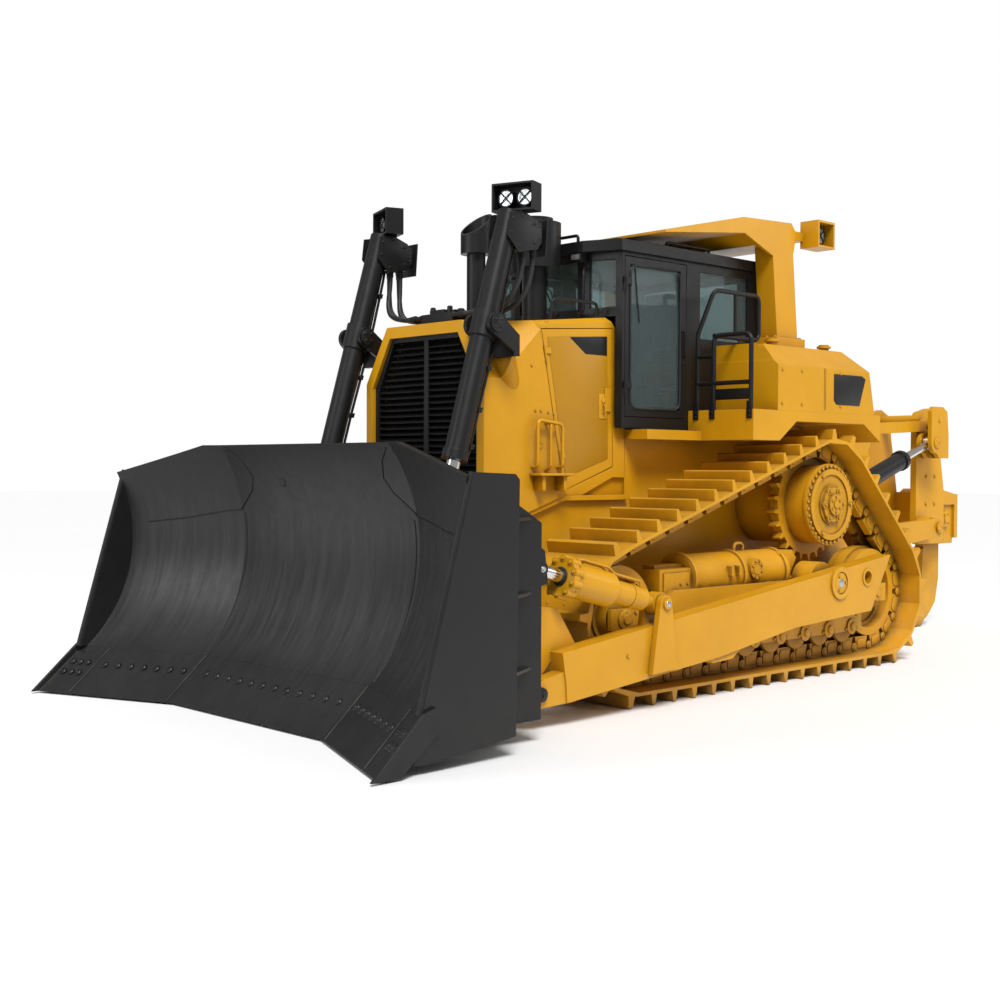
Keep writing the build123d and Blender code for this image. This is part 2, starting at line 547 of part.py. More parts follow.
def cab_frame():
    """Hollow cab body with a floor, door openings and window openings."""
    shell = prism("z", cab_plan(0), CAB_FLOOR_Z, CAB_TOP_Z) - prism("z", cab_plan(CAB_WALL), CAB_FLOOR_Z + 60,
                                                                    CAB_TOP_Z + 1)
    notch = block(DASH_X, CAB_FRONT_X + 1, 60 - CAB_HALF, CAB_HALF - 60, CAB_FLOOR_Z - 1, COWL_Z - 15)
    shell = shell - notch
    dash = block(DASH_X - 40, DASH_X, -CAB_HALF + 20, CAB_HALF - 20, CAB_FLOOR_Z + 20, COWL_Z)
    sill = prism("z", [(DASH_X - 40, -CAB_HALF + 20), (CAB_CORNER_X - 10, -CAB_HALF + 20), (CAB_FRONT_X - 10, -NOSE_HALF),
                       (CAB_FRONT_X - 10, NOSE_HALF), (CAB_CORNER_X - 10, CAB_HALF - 20), (DASH_X - 40, CAB_HALF - 20)],
                 COWL_Z - 15, COWL_Z)
    shell = joined(shell, dash, sill)
    cuts = [block(CAB_FRONT_X - 100, CAB_FRONT_X + 1, 60 - NOSE_HALF, NOSE_HALF - 60, COWL_Z + 60, CAB_TOP_Z - 60)]
    cuts.append(block(CAB_REAR_X - 1, CAB_REAR_X + 100, 190 - CAB_HALF, CAB_HALF - 190, 2900, CAB_TOP_Z - 80))
    for side in (1, -1):
        y0, y1 = sorted((side * (CAB_HALF + 1), side * (CAB_HALF - 100)))
        cuts.append(block(DOOR_REAR_X - DOOR_GAP, DOOR_FRONT_X + DOOR_GAP, y0, y1, DOOR_LOW_Z - DOOR_GAP,
                          DOOR_HIGH_Z + DOOR_GAP))
        cuts.append(block(-520, 150, y0, y1, 2880, CAB_TOP_Z - 70))
    corner = corner_tool(100, 50, 60, COWL_Z + 60, CAB_TOP_Z - 60)
    cuts += both_sides(corner)
    for cut in cuts:
        shell = shell - cut
    for z in HINGE_LEVELS:
        knuckle = block(HINGE_X, CAB_CORNER_X - 2, CAB_HALF - 1, HINGE_Y, z - HINGE_HIGH, z)
        knuckle = knuckle + rod((HINGE_X, HINGE_Y, z - HINGE_HIGH), (HINGE_X, HINGE_Y, z), HINGE_RADIUS)
        shell = joined(shell, *both_sides(knuckle))
    return shell


def cab_windows():
    """Fixed panes in the front, corners, sides and rear."""
    panes = [block(CAB_FRONT_X - 30, CAB_FRONT_X - 30 + GLASS, 60 - NOSE_HALF, NOSE_HALF - 60,
                   COWL_Z + 60, CAB_TOP_Z - 60),
             block(CAB_REAR_X + 20, CAB_REAR_X + 20 + GLASS, 190 - CAB_HALF, CAB_HALF - 190, 2900, CAB_TOP_Z - 80)]
    panes += both_sides(block(-520, 150, CAB_HALF - 28, CAB_HALF - 28 + GLASS, 2880, CAB_TOP_Z - 70))
    panes += both_sides(corner_tool(30, -22, 60, COWL_Z + 60, CAB_TOP_Z - 60))
    return panes


def cab_door(side):
    """Door frame with its window cut; the hinges are at the front edge."""
    leaf = block(DOOR_REAR_X, DOOR_FRONT_X, CAB_HALF - CAB_WALL, CAB_HALF, DOOR_LOW_Z, DOOR_HIGH_Z)
    window = block(DOOR_REAR_X + 75, DOOR_FRONT_X - 55, CAB_HALF - 100, CAB_HALF + 1, DOOR_LOW_Z + 60, DOOR_HIGH_Z - 60)
    leaf = leaf - window
    for z in HINGE_LEVELS:
        leaf = leaf + block(HINGE_X - 80, DOOR_FRONT_X, CAB_HALF - 1, HINGE_Y, z + SEAT, z + HINGE_HIGH)
        leaf = leaf + block(DOOR_FRONT_X - 1, HINGE_X, CAB_HALF + 3, HINGE_Y, z + SEAT, z + HINGE_HIGH)
        leaf = leaf + rod((HINGE_X, HINGE_Y, z + SEAT), (HINGE_X, HINGE_Y, z + HINGE_HIGH), HINGE_RADIUS)
    return leaf if side > 0 else leaf.mirror(Plane.XZ)


def door_glass(side):
    pane = block(DOOR_REAR_X + 75, DOOR_FRONT_X - 55, CAB_HALF - 25, CAB_HALF - 25 + GLASS, DOOR_LOW_Z + 60,
                 DOOR_HIGH_Z - 60)
    return pane if side > 0 else pane.mirror(Plane.XZ)


def cab_roof():
    """Roof slab with an overhang at the front and a raised middle."""
    rear, half = CAB_REAR_X - 20, CAB_HALF + 40
    plan = [(rear, -half), (CAB_CORNER_X + 50, -half), (CAB_FRONT_X + 90, -NOSE_HALF - 80),
            (CAB_FRONT_X + 90, NOSE_HALF + 80), (CAB_CORNER_X + 50, half), (rear, half)]
    top = CAB_TOP_Z + ROOF_THICK
    slab = prism("z", plan, CAB_TOP_Z, top)
    raised = block(CAB_REAR_X + 60, CAB_CORNER_X - 40, 100 - CAB_HALF, CAB_HALF - 100, top, top + 30)
    r = 13
    rails = both_sides(pipe([(0, CAB_HALF - 30, top), (0, CAB_HALF - 30, top + 45), (560, CAB_HALF - 30, top + 45),
                             (560, CAB_HALF - 30, top)], r, 25))
    x, y = CAB_FRONT_X + 60, NOSE_HALF
    rails.append(pipe([(x, -y, top), (x, -y, top + 55), (x, y, top + 55), (x, y, top)], r, 25))
    lamps = both_sides(block(CAB_FRONT_X + 15, CAB_FRONT_X + 85, NOSE_HALF - 60, NOSE_HALF + 60, CAB_TOP_Z - 75, CAB_TOP_Z + 5))
    return joined(slab, raised, *rails, *lamps)


def operator_seat():
    """Seat on its pedestal with armrests and the control console in front."""
    pedestal = block(-150, 250, -230, 230, CAB_FLOOR_Z + 60, 2480)
    cushion = block(-180, 330, -260, 260, 2480, 2600)
    back = prism("y", [(-180, 2590), (-60, 2590), (-160, 3230), (-280, 3230)], -240, 240)
    arms = both_sides(block(-120, 300, 275, 355, 2700, 2780))
    posts = both_sides(block(-60, 40, 240, 340, 2500, 2710))
    return joined(pedestal, cushion, back, *arms, *posts)


# ---------------------------------------------------------------- roll-over frame, tanks and fenders
ROPS_HALF = CAB_HALF + 250
ROPS_TOP = CAB_TOP_Z + 430
RIDGE_X = -123          # where the canopy's slope meets its box
LAMP_X = -1010          # front of the work lamps' boxes
LAMP_INNER_Y, LAMP_OUTER_Y = ROPS_HALF - 40, ROPS_HALF + 150
LAMP_TOP = ROPS_TOP + 40
POST_FRONT_X = -533     # of each post at its top
POST_REAR_X = -838
POST_LEAN = 80          # by which the foot stands behind the top
FENDER_HALF = TRACK_Y + 305
FENDER_FRONT_X = 305
FENDER_REAR_X = -1600
FENDER_TOP = 2262
SIDE_TANK_TOP = 2830
RAIL_REACH = 260         # of the rails beside the cab doors, from the cab's wall


def rops():
    """Roll-over frame: two posts, a cross box and a canopy plate that slopes down over the cab."""
    parts = []
    for side in (1, -1):
        y0, y1 = sorted((side * (CAB_HALF + 60), side * ROPS_HALF))
        foot_top = SIDE_TANK_TOP + 100
        parts.append(prism("y", [(POST_FRONT_X - POST_LEAN, foot_top), (POST_REAR_X - POST_LEAN, foot_top),
                                 (POST_REAR_X, ROPS_TOP - 200), (POST_FRONT_X, ROPS_TOP - 200)], y0, y1))
        foot0, foot1 = sorted((side * (CAB_HALF + 40), side * (ROPS_HALF + 40)))
        parts.append(block(POST_REAR_X - POST_LEAN - 60, POST_FRONT_X - POST_LEAN + 60, foot0, foot1, SIDE_TANK_TOP, foot_top))
        y0, y1 = sorted((side * (ROPS_HALF - 30), side * ROPS_HALF))
        parts.append(prism("y", [(RIDGE_X, ROPS_TOP - 31), (RIDGE_X, ROPS_TOP - 160), (POST_FRONT_X - 107, ROPS_TOP - 350),
                                 (POST_REAR_X + 138, ROPS_TOP - 350), (POST_REAR_X - 12, ROPS_TOP - 260),
                                 (POST_REAR_X - 52, ROPS_TOP - 80), (POST_REAR_X + 22, ROPS_TOP)], y0, y1))
        y0, y1 = sorted((side * 850, side * (ROPS_HALF - 10)))
        parts.append(block(LAMP_X - 20, POST_REAR_X + 40, y0, y1, ROPS_TOP - 140, ROPS_TOP - 60))
        y0, y1 = sorted((side * LAMP_INNER_Y, side * LAMP_OUTER_Y))
        lamp = block(LAMP_X - 260, LAMP_X, y0, y1, ROPS_TOP - 200, LAMP_TOP)
        y0, y1 = sorted((side * (LAMP_INNER_Y + 40), side * (LAMP_OUTER_Y + 1)))
        parts.append(lamp - block(LAMP_X - 240, LAMP_X - 20, y0, y1, ROPS_TOP - 180, LAMP_TOP - 20))
    parts.append(prism("y", [(RIDGE_X, ROPS_TOP - 31), (POST_REAR_X + 22, ROPS_TOP), (POST_REAR_X - 42, ROPS_TOP - 150),
                             (POST_REAR_X + 38, ROPS_TOP - 230), (POST_FRONT_X + 133, ROPS_TOP - 230), (-160, ROPS_TOP - 130)],
                       -ROPS_HALF, ROPS_HALF))
    parts.append(prism("y", [(908, ROPS_TOP - 282), (908, ROPS_TOP - 260), (RIDGE_X, ROPS_TOP - 31), (-230, ROPS_TOP - 60),
                             (-230, ROPS_TOP - 155)], -ROPS_HALF, ROPS_HALF))
    return joined(*parts)


def fuel_tank():
    """Rear tank behind the cab and between the fenders."""
    outline = [(-1000, CAB_FLOOR_Z), (-1000, 2830), (-1600, 2830), (-1850, 2560), (-1850, CAB_FLOOR_Z)]
    return prism("y", outline, 60 - CAB_HALF, CAB_HALF - 60)


def fenders():
    """Deck over each track with a deep side skirt, arched over the sprocket, and the step at the cab door."""
    inner = max(CAB_HALF + 5, FRAME_HALF)
    deck = prism("y", [(FENDER_FRONT_X, 2010), (FENDER_FRONT_X, FENDER_TOP), (FENDER_REAR_X, FENDER_TOP),
                       (FENDER_REAR_X, 2020), (-1330, 2175), (-300, 2175), (-60, 2010)], inner, FENDER_HALF)
    step = block(FENDER_FRONT_X - 1, 1000, FRAME_HALF, FRAME_HALF + 260, 2010, 2090)
    front_arm = block(-40, FENDER_FRONT_X, FRAME_HALF, inner + 5, 2010, 2090)
    rear_arm = block(-1590, -1480, FRAME_HALF, inner + 5, 2030, 2090)
    return both_sides(joined(deck, step, front_arm, rear_arm))


def side_tanks():
    """Boxes on the fenders: one holds hydraulic oil, the other the batteries."""
    inner, shoulder = CAB_HALF + 10, SIDE_TANK_TOP - 190
    low = prism("y", [(-30, FENDER_TOP), (-30, shoulder), (-1410, shoulder), (-1500, FENDER_TOP)], inner, FENDER_HALF)
    top = prism("x", [(inner, shoulder), (FENDER_HALF, shoulder), (FENDER_HALF - 220, SIDE_TANK_TOP), (inner, SIDE_TANK_TOP)],
                -1410, -30)
    top = top - prism("y", [(-31, shoulder + 40), (-31, 3000), (-120, 3000), (-120, SIDE_TANK_TOP)], inner - 1, FENDER_HALF + 1)
    top = top - prism("y", [(-1411, shoulder + 1), (-1411, 3000), (-1300, 3000), (-1300, SIDE_TANK_TOP)], inner - 1, FENDER_HALF + 1)
    for x in (-700, -720):
        low = low - block(x - 8, x, FENDER_HALF - 10, FENDER_HALF + 1, FENDER_TOP + 20, shoulder + 1)
    places = ((-330, CAB_HALF + RAIL_REACH + 140), (-1200, CAB_HALF + RAIL_REACH + 80))     # clear of the rails
    caps = [rod((x, y, shoulder + 10), (x, y, SIDE_TANK_TOP + 62), 45) for x, y in places]
    caps += [rod((x, y, SIDE_TANK_TOP + 30), (x, y, SIDE_TANK_TOP + 50), 62) for x, y in places]
    return both_sides(joined(low, top, *caps))


RAIL_PIPE = 19
RAIL_X = 286            # of the rails beside the cab doors


def handrails():
    """Grab rails and guards along the walkways."""
    r, x, y = RAIL_PIPE, RAIL_X, CAB_HALF + RAIL_REACH
    outer = FENDER_HALF - 40
    loop = pipe([(x, CAB_HALF + 90, FENDER_TOP), (x, CAB_HALF + 90, 2900), (x, y, 3261), (-330, y, 3261), (-330, y, 2880),
                 (x, y, 2880)], r, 60)
    ladder = pipe([(x, y, FENDER_TOP), (x, y, 2880), (x, outer, 2880), (x, outer, FENDER_TOP)], r, 60)
    bars = [rod((x, CAB_HALF + 90, 2711), (x, y, 2711), r), rod((x, CAB_HALF + 90, 2484), (x, outer, 2484), r),
            rod((0, y, 2880), (0, y, 3261), r * 0.8)]
    return both_sides(joined(ladder, loop, *bars))


# ---------------------------------------------------------------- push arms and blade
PITCH_X, PITCH_Z = 2941, 250        # lower pins between arms and blade
TILT_FOOT = (1703, 784)             # tilt cylinder pin on the arm, in XZ
TILT_EYE = (2990, 1100)             # its rod eye at the blade
TILT_Y = ARM_INNER_Y + 100
LIFT_EYE = (3302, 600)              # lift rod eye at the blade, in XZ
EYE_WIDTH = 90
LUG = 45                            # thickness of each lug plate
SIDE_GAP = 8                        # between an eye and the lugs beside it


def push_arms():
    """Tapered box arms from the trunnions to the lower corners of the blade."""
    outline = [(-1429, 1019), (-1122, 543), (0, 480), (1000, 330), (2689, 165), (2700, 300), (2737, 512)]
    arm = prism("y", outline, ARM_INNER_Y, ARM_OUTER_Y)
    arm = arm + prism("y", [(2600, 165), (2600, 400), (PITCH_X - 20, 345), (PITCH_X - 20, 155)], ARM_INNER_Y + 30,
                      ARM_OUTER_Y - 12)
    arm = arm + disc(PITCH_X, PITCH_Z, 95, ARM_INNER_Y + 30, ARM_OUTER_Y - 12)
    arm = arm + prism("y", [(560, 470), (820, 300), (1060, 285), (1180, 345)], ARM_INNER_Y + 20, ARM_OUTER_Y - 20)
    arm = arm + prism("y", [(2925, 850), (2660, 800), (2480, 540), (2690, 480), (2840, 330)], ARM_INNER_Y + 5,
                      ARM_INNER_Y + 25)
    foot_x, foot_z = TILT_FOOT
    for y in (TILT_Y - EYE_WIDTH / 2 - SIDE_GAP - LUG, TILT_Y + EYE_WIDTH / 2 + SIDE_GAP):
        arm = arm + prism("y", [(foot_x - 130, 300), (foot_x + 150, 280), (foot_x + 66, foot_z), (foot_x - 66, foot_z)], y, y + LUG)
        arm = arm + disc(foot_x, foot_z, 66, y, y + LUG)
    arm = arm - disc(TRUNNION_X, TRUNNION_Z, 95 + SEAT, ARM_INNER_Y - 1, ARM_OUTER_Y + 1)
    arm = arm + tube(-1056, 838, 78, 55, ARM_OUTER_Y - 5, ARM_OUTER_Y + 10)
    arm = arm + tube(TRUNNION_X, TRUNNION_Z, 138, 95 + SEAT, ARM_OUTER_Y - 5, ARM_OUTER_Y + 18)
    arm = arm - disc(-1056, 838, 55, ARM_INNER_Y - 1, ARM_OUTER_Y + 11)
    arm = arm - disc(PITCH_X, PITCH_Z, 50, ARM_INNER_Y, ARM_OUTER_Y)
    pin = disc(foot_x, foot_z, 42, TILT_Y - 110, TILT_Y + 110)
    return both_sides(joined(arm, pin))


CURVE_RADIUS = 1205
CURVE_X, CURVE_Z = 4721, 1213       # centre of the moldboard's curve
EDGE_TOP = (3890, 340)              # upper edge of the cutting edge
BOARD_THICK = 45
EDGE_THICK = 40
SIDE_PLATE = 45
SIDE_OUTER_Y = BLADE_HALF - 25


def curve_point(z, back=0):
    """Point of the moldboard's face at a height, or of its back."""
    return (CURVE_X - math.sqrt((CURVE_RADIUS + back) ** 2 - (z - CURVE_Z) ** 2), z)


def board_face(y):
    """Section of the moldboard: two arcs closed at the top and at the cutting edge."""
    low, high = EDGE_TOP[1], BLADE_TOP
    face_arc = [curve_point(low), curve_point((low + high) / 2), curve_point(high)]
    back_arc = [curve_point(high, BOARD_THICK), curve_point((low + high) / 2, BOARD_THICK),
                curve_point(low - 20, BOARD_THICK)]
    edges = [ThreePointArc(*[(x, y, z) for x, z in face_arc]),
             Line((face_arc[2][0], y, face_arc[2][1]), (back_arc[0][0], y, back_arc[0][1])),
             ThreePointArc(*[(x, y, z) for x, z in back_arc]),
             Line((back_arc[2][0], y, back_arc[2][1]), (face_arc[0][0], y, face_arc[0][1]))]
    return make_face(Wire(edges))


def bent(section_face, reach, end_y):
    """Section carried along Y to the knees, and on along the wings until end_y."""
    half_turn = math.radians(WING_ANGLE / 2)
    long_bar = extrude(section_face, amount=2 * reach, dir=(0, 1, 0))
    knee = Plane(origin=(EDGE_TIP[0], KNEE_Y, 0), z_dir=(math.sin(half_turn), math.cos(half_turn), 0))
    other = Plane(origin=(EDGE_TIP[0], -KNEE_Y, 0), z_dir=(math.sin(half_turn), -math.cos(half_turn), 0))
    inside = long_bar - half_space(knee) - half_space(other)
    wing = (long_bar - half_space(knee)).mirror(knee)
    limit = block(0, 9000, 0, end_y, -500, 4000)
    wing = wing & limit
    return joined(inside, wing, wing.mirror(Plane.XZ))


def half_space(plane):
    """Large block on the outer side of a plane."""
    return plane * Box(20000, 20000, 6000, align=(Align.CENTER, Align.CENTER, Align.MIN))


def moldboard():
    """Curved face with its two wings and the flat plates that close the ends."""
    board = bent(board_face(-3000), 3000, SIDE_OUTER_Y - SIDE_PLATE / 2)
    corner = (KNEE_Y + 250, BLADE_HALF + 245)
    crown = prism("x", [(-corner[0], 3000), (-corner[0], BLADE_TOP), (-corner[1], BLADE_TOP - 280), (-corner[1], 3000)],
                  0, 9000)
    board = board - crown - crown.mirror(Plane.XZ)
    tip = END_BIT_TIP_X
    side = prism("y", [(tip - 1130, 130), (tip - 1155, 1700), (tip - 1120, 1735), (tip - 780, 1746), (tip - 380, 340),
                       (tip - 80, 60), (tip - 470, 60)], SIDE_OUTER_Y - SIDE_PLATE, SIDE_OUTER_Y)
    side = side - bent(edge_room(-3000), 3000, 2300)
    return joined(board, side, side.mirror(Plane.XZ))


def edge_room(y):
    """Section of the space that the cutting edge takes, and all in front of it."""
    (tx, tz), back = EDGE_TOP, EDGE_THICK
    outline = [(tx - back, tz - back + 10), (tx - 2, tz + 2), (tx + 2000, tz + 2), (tx + 2000, -400), (tx + 370, -400)]
    return make_face(Polyline(*[(x, y, z) for x, z in outline], close=True))


def board_room(y):
    """Section of the moldboard and all in front of it, a seat's gap larger."""
    low, high, back = 0, 2400, BOARD_THICK + SEAT
    arc = [curve_point(low, back), curve_point((low + high) / 2, back), curve_point(high, back)]
    spots = [(x, y, z) for x, z in arc]
    edges = [ThreePointArc(*spots), Line(spots[2], (6500, y, high)), Line((6500, y, high), (6500, y, low)),
             Line((6500, y, low), spots[0])]
    return make_face(Wire(edges))


def edge_face(y):
    nx, nz = 0.69, 0.724
    (tx, tz), (bx, bz) = EDGE_TOP, EDGE_TIP
    back = EDGE_THICK
    outline = [(tx - SEAT, tz - 2 * SEAT), (bx, bz), (bx - 55, bz), (tx - back * nx, tz - back * nz)]
    return make_face(Polyline(*[(x, y, z) for x, z in outline], close=True))


def cutting_edges():
    """Bolted edges along the bottom and the end bits that reach out past the side plates."""
    edge = bent(edge_face(-3000), 3000, BLADE_HALF)
    tip = END_BIT_TIP_X
    bit = prism("y", [(tip - 375, 360), (tip, EDGE_GROUND), (tip - 210, EDGE_GROUND), (tip - 500, 250), (tip - 470, 390)],
                SIDE_OUTER_Y + SEAT, BLADE_HALF)
    return joined(edge, bit, bit.mirror(Plane.XZ))


def blade_back():
    """Box beams and ribs behind the moldboard, with the lugs for arms, tilt and lift cylinders."""
    lower = prism("y", [(3440, 150), (3440, 520), (3640, 560), (3740, 430), (3820, 150)], 255 - BLADE_HALF, BLADE_HALF - 255)
    parts = [lower]
    for side in (1, -1):
        for y in (ARM_INNER_Y - 250, ARM_OUTER_Y + 225):
            y0, y1 = sorted((side * y, side * (y + 30)))
            parts.append(prism("y", [(3200, 150), (3200, 1420), (3480, 1580), (3560, 1500), (3480, 1200),
                                     (3600, 560), (3800, 150)], y0, y1))
        y0, y1 = sorted((side * (ARM_INNER_Y - 250), side * (ARM_OUTER_Y + 255)))
        parts.append(prism("y", [(3200, 150), (3200, 1420), (3240, 1440), (3240, 150)], y0, y1))
        y0, y1 = sorted((side * (ARM_INNER_Y + 22 - LUG), side * (ARM_INNER_Y + 22)))
        parts.append(prism("y", [(3210, 160), (3210, 420), (PITCH_X - 60, 350), (PITCH_X - 60, 160)], y0, y1))
        rib = side * (ARM_OUTER_Y + 254)
        for z in (480, 960, 1440):
            parts.append(prism("z", [(3290, rib), (3700, rib), (3700, side * (SIDE_OUTER_Y - SIDE_PLATE - SEAT)),
                                     (3640, side * (SIDE_OUTER_Y - SIDE_PLATE - SEAT))], z, z + 22))
        y0, y1 = sorted((side * (ARM_INNER_Y - 20), side * (ARM_OUTER_Y + 8)))
        parts.append(disc(PITCH_X, PITCH_Z, 49.7, y0, y1))
        for offset in (-EYE_WIDTH / 2 - SIDE_GAP - LUG, EYE_WIDTH / 2 + SIDE_GAP):
            y0, y1 = sorted((side * (TILT_Y + offset), side * (TILT_Y + offset + LUG)))
            parts.append(prism("y", [(3220, 950), (3220, 1400), (2960, 1220), (2930, 1000)], y0, y1))
            y0, y1 = sorted((side * (YOKE_Y + offset), side * (YOKE_Y + offset + LUG)))
            parts.append(prism("y", [(3700, 350), (3650, 620), (3330, 680), (3222, 560), (3450, 350)], y0, y1))
            parts.append(disc(LIFT_EYE[0], LIFT_EYE[1], 86, y0, y1))
    room = bent(board_room(-3000), 3000, 2300)
    back = joined(*parts) - room
    return max(back.solids(), key=lambda solid: solid.volume)


# ---------------------------------------------------------------- cylinders
def axis_point(start, end, distance):
    """Place on the line between two XZ points, at a distance from the first."""
    length = math.dist(start, end)
    return (start[0] + (end[0] - start[0]) * distance / length, start[1] + (end[1] - start[1]) * distance / length)


def along(start, end, y, from_distance, to_distance, radius):
    a = axis_point(start, end, from_distance)
    b = axis_point(start, end, to_distance)
    return rod((a[0], y, a[1]), (b[0], y, b[1]), radius)


YOKE = (YOKE_X, YOKE_Z)
LIFT_ABOVE = 880        # barrel above the cross axis
LAMP_TURN = 20          # by which each lamp box looks outward
LIFT_BELOW = 1030
LIFT_LENGTH = math.dist(YOKE, LIFT_EYE)
LIFT_ROD = 50
BORE_SEAT = 0.5         # between a rod and its barrel
TRUNNION_PIN = 45
YOKE_ARM = 108          # inner face of each yoke arm, from the cylinder's middle
YOKE_ARM_THICK = 32
LIFT_BAR = 1900         # length of the rod's bar


def lift_barrels():
    """Lift cylinder barrels, open at the lower end, with the yoke collars and the lamp boxes on top."""
    barrel = along(YOKE, LIFT_EYE, YOKE_Y, -LIFT_ABOVE, LIFT_BELOW, 85)
    barrel = barrel + along(YOKE, LIFT_EYE, YOKE_Y, -100, 100, 100)
    barrel = barrel + disc(YOKE_X, YOKE_Z, TRUNNION_PIN, YOKE_Y - YOKE_ARM - YOKE_ARM_THICK,
                           YOKE_Y + YOKE_ARM + YOKE_ARM_THICK)
    barrel = barrel - along(YOKE, LIFT_EYE, YOKE_Y, -LIFT_ABOVE + 40, LIFT_BELOW + 10, LIFT_ROD + BORE_SEAT)
    lamp = Box(150, 340, 210) - Pos(20, 0, 0) * Box(150, 312, 182)
    lamp = Pos(2335, YOKE_Y, 3775) * Rot(0, 0, LAMP_TURN) * lamp
    neck = block(2290, 2390, YOKE_Y - 60, YOKE_Y + 60, 3590, 3675)
    valve = block(2165, 2380, YOKE_Y - 95, YOKE_Y + 95, 3390, 3600)
    valve = valve - prism("y", [(2164, 3389), (2164, 3450), (2225, 3389)], YOKE_Y - 96, YOKE_Y + 96)
    gland = along(YOKE, LIFT_EYE, YOKE_Y, LIFT_BELOW - 70, LIFT_BELOW, 96)
    bore = along(YOKE, LIFT_EYE, YOKE_Y, -LIFT_ABOVE + 40, LIFT_BELOW + 10, LIFT_ROD + BORE_SEAT)
    return both_sides(joined(barrel, gland, lamp, neck, valve) - bore)


def lift_yokes():
    """Forks on the guard's stubs that hold each barrel's cross pins."""
    arm = [(YOKE_X + 40, YOKE_Z - 68), (YOKE_X - 30, YOKE_Z + 74), (2430, YOKE_Z - 70), (2430, YOKE_Z - 225)]
    parts = [block(2430, 2485, YOKE_Y - YOKE_ARM - YOKE_ARM_THICK, YOKE_Y + YOKE_ARM + YOKE_ARM_THICK, YOKE_Z - 225,
                   YOKE_Z - 70)]
    for y in (YOKE_Y - YOKE_ARM - YOKE_ARM_THICK, YOKE_Y + YOKE_ARM):
        parts.append(prism("y", arm, y, y + YOKE_ARM_THICK))
        parts.append(disc(YOKE_X, YOKE_Z, 80, y, y + YOKE_ARM_THICK))
    fork = joined(*parts) - disc(YOKE_X, YOKE_Z, TRUNNION_PIN + SEAT, YOKE_Y - 200, YOKE_Y + 200)
    return both_sides(fork)


def lift_rods():
    bar = along(YOKE, LIFT_EYE, YOKE_Y, LIFT_LENGTH - 60 - LIFT_BAR, LIFT_LENGTH - 60, LIFT_ROD)
    eye = disc(LIFT_EYE[0], LIFT_EYE[1], 85, YOKE_Y - EYE_WIDTH / 2, YOKE_Y + EYE_WIDTH / 2)
    eye = joined(eye, bar) - disc(LIFT_EYE[0], LIFT_EYE[1], 45, YOKE_Y - 100, YOKE_Y + 100)
    return both_sides(eye)


TILT_LENGTH = math.dist(TILT_FOOT, TILT_EYE)
TILT_ROD = 48
GLAND_LOBES = 10        # bolt bosses round each tilt cylinder's gland


def tilt_barrels():
    neck = along(TILT_FOOT, TILT_EYE, TILT_Y, 60, 190, EYE_WIDTH / 2 - 2)
    barrel = along(TILT_FOOT, TILT_EYE, TILT_Y, 180, 560, 85)
    head = along(TILT_FOOT, TILT_EYE, TILT_Y, 560, 980, 125)
    gland = along(TILT_FOOT, TILT_EYE, TILT_Y, 985, 1040, 138)
    slope = math.atan2(TILT_EYE[1] - TILT_FOOT[1], TILT_EYE[0] - TILT_FOOT[0])
    for index in range(GLAND_LOBES):
        angle = 2 * math.pi * index / GLAND_LOBES
        up, across = 128 * math.cos(angle), 128 * math.sin(angle)
        shift = (-up * math.sin(slope), up * math.cos(slope))
        start = (TILT_FOOT[0] + shift[0], TILT_FOOT[1] + shift[1])
        end = (TILT_EYE[0] + shift[0], TILT_EYE[1] + shift[1])
        gland = gland + along(start, end, TILT_Y + across, 960, 1044, 27)
    foot = disc(TILT_FOOT[0], TILT_FOOT[1], 85, TILT_Y - EYE_WIDTH / 2, TILT_Y + EYE_WIDTH / 2)
    body = joined(neck, barrel, head, gland, foot)
    body = body - along(TILT_FOOT, TILT_EYE, TILT_Y, 600, 1050, TILT_ROD + BORE_SEAT)
    return both_sides(body - disc(TILT_FOOT[0], TILT_FOOT[1], 42 + SEAT, TILT_Y - 100, TILT_Y + 100))


def tilt_rods():
    bar = along(TILT_FOOT, TILT_EYE, TILT_Y, 720, TILT_LENGTH - 50, TILT_ROD)
    eye = disc(TILT_EYE[0], TILT_EYE[1], 75, TILT_Y - EYE_WIDTH / 2, TILT_Y + EYE_WIDTH / 2)
    return both_sides(joined(bar, eye) - disc(TILT_EYE[0], TILT_EYE[1], 42, TILT_Y - 100, TILT_Y + 100))


# ---------------------------------------------------------------- ripper
RIPPER_FOOT = (-2720, 1080)         # lower frame pin at the tractor
RIPPER_KNEE = (-4230, 1150)         # lower frame pin at the carriage
LINK_FOOT = (-2720, 2180)           # upper links, parallel to the lower frame
LINK_KNEE = (-4230, 2250)
RIPPER_CYLINDER_FOOT = (-2680, 1600)
RIPPER_EYE = (-4080, 2060)
SHANK_Y = 50
SHANK_REAR_X, SHANK_FRONT_X = -5135, -4790
BEAM_INNER_Y, BEAM_OUTER_Y = 480, 550       # each side beam and its eyes, and the lift cylinder's eyes
LINK_INNER_Y, LINK_OUTER_Y = 345, 418
RIPPER_PIN = 48
LINK_PIN = 36
RIPPER_ROD = 40


def mirrored_disc(place, radius, y0, y1):
    """Round pieces with their axis along Y on both sides of the middle."""
    piece = disc(place[0], place[1], radius, y0, y1)
    return [piece, piece.mirror(Plane.XZ)]


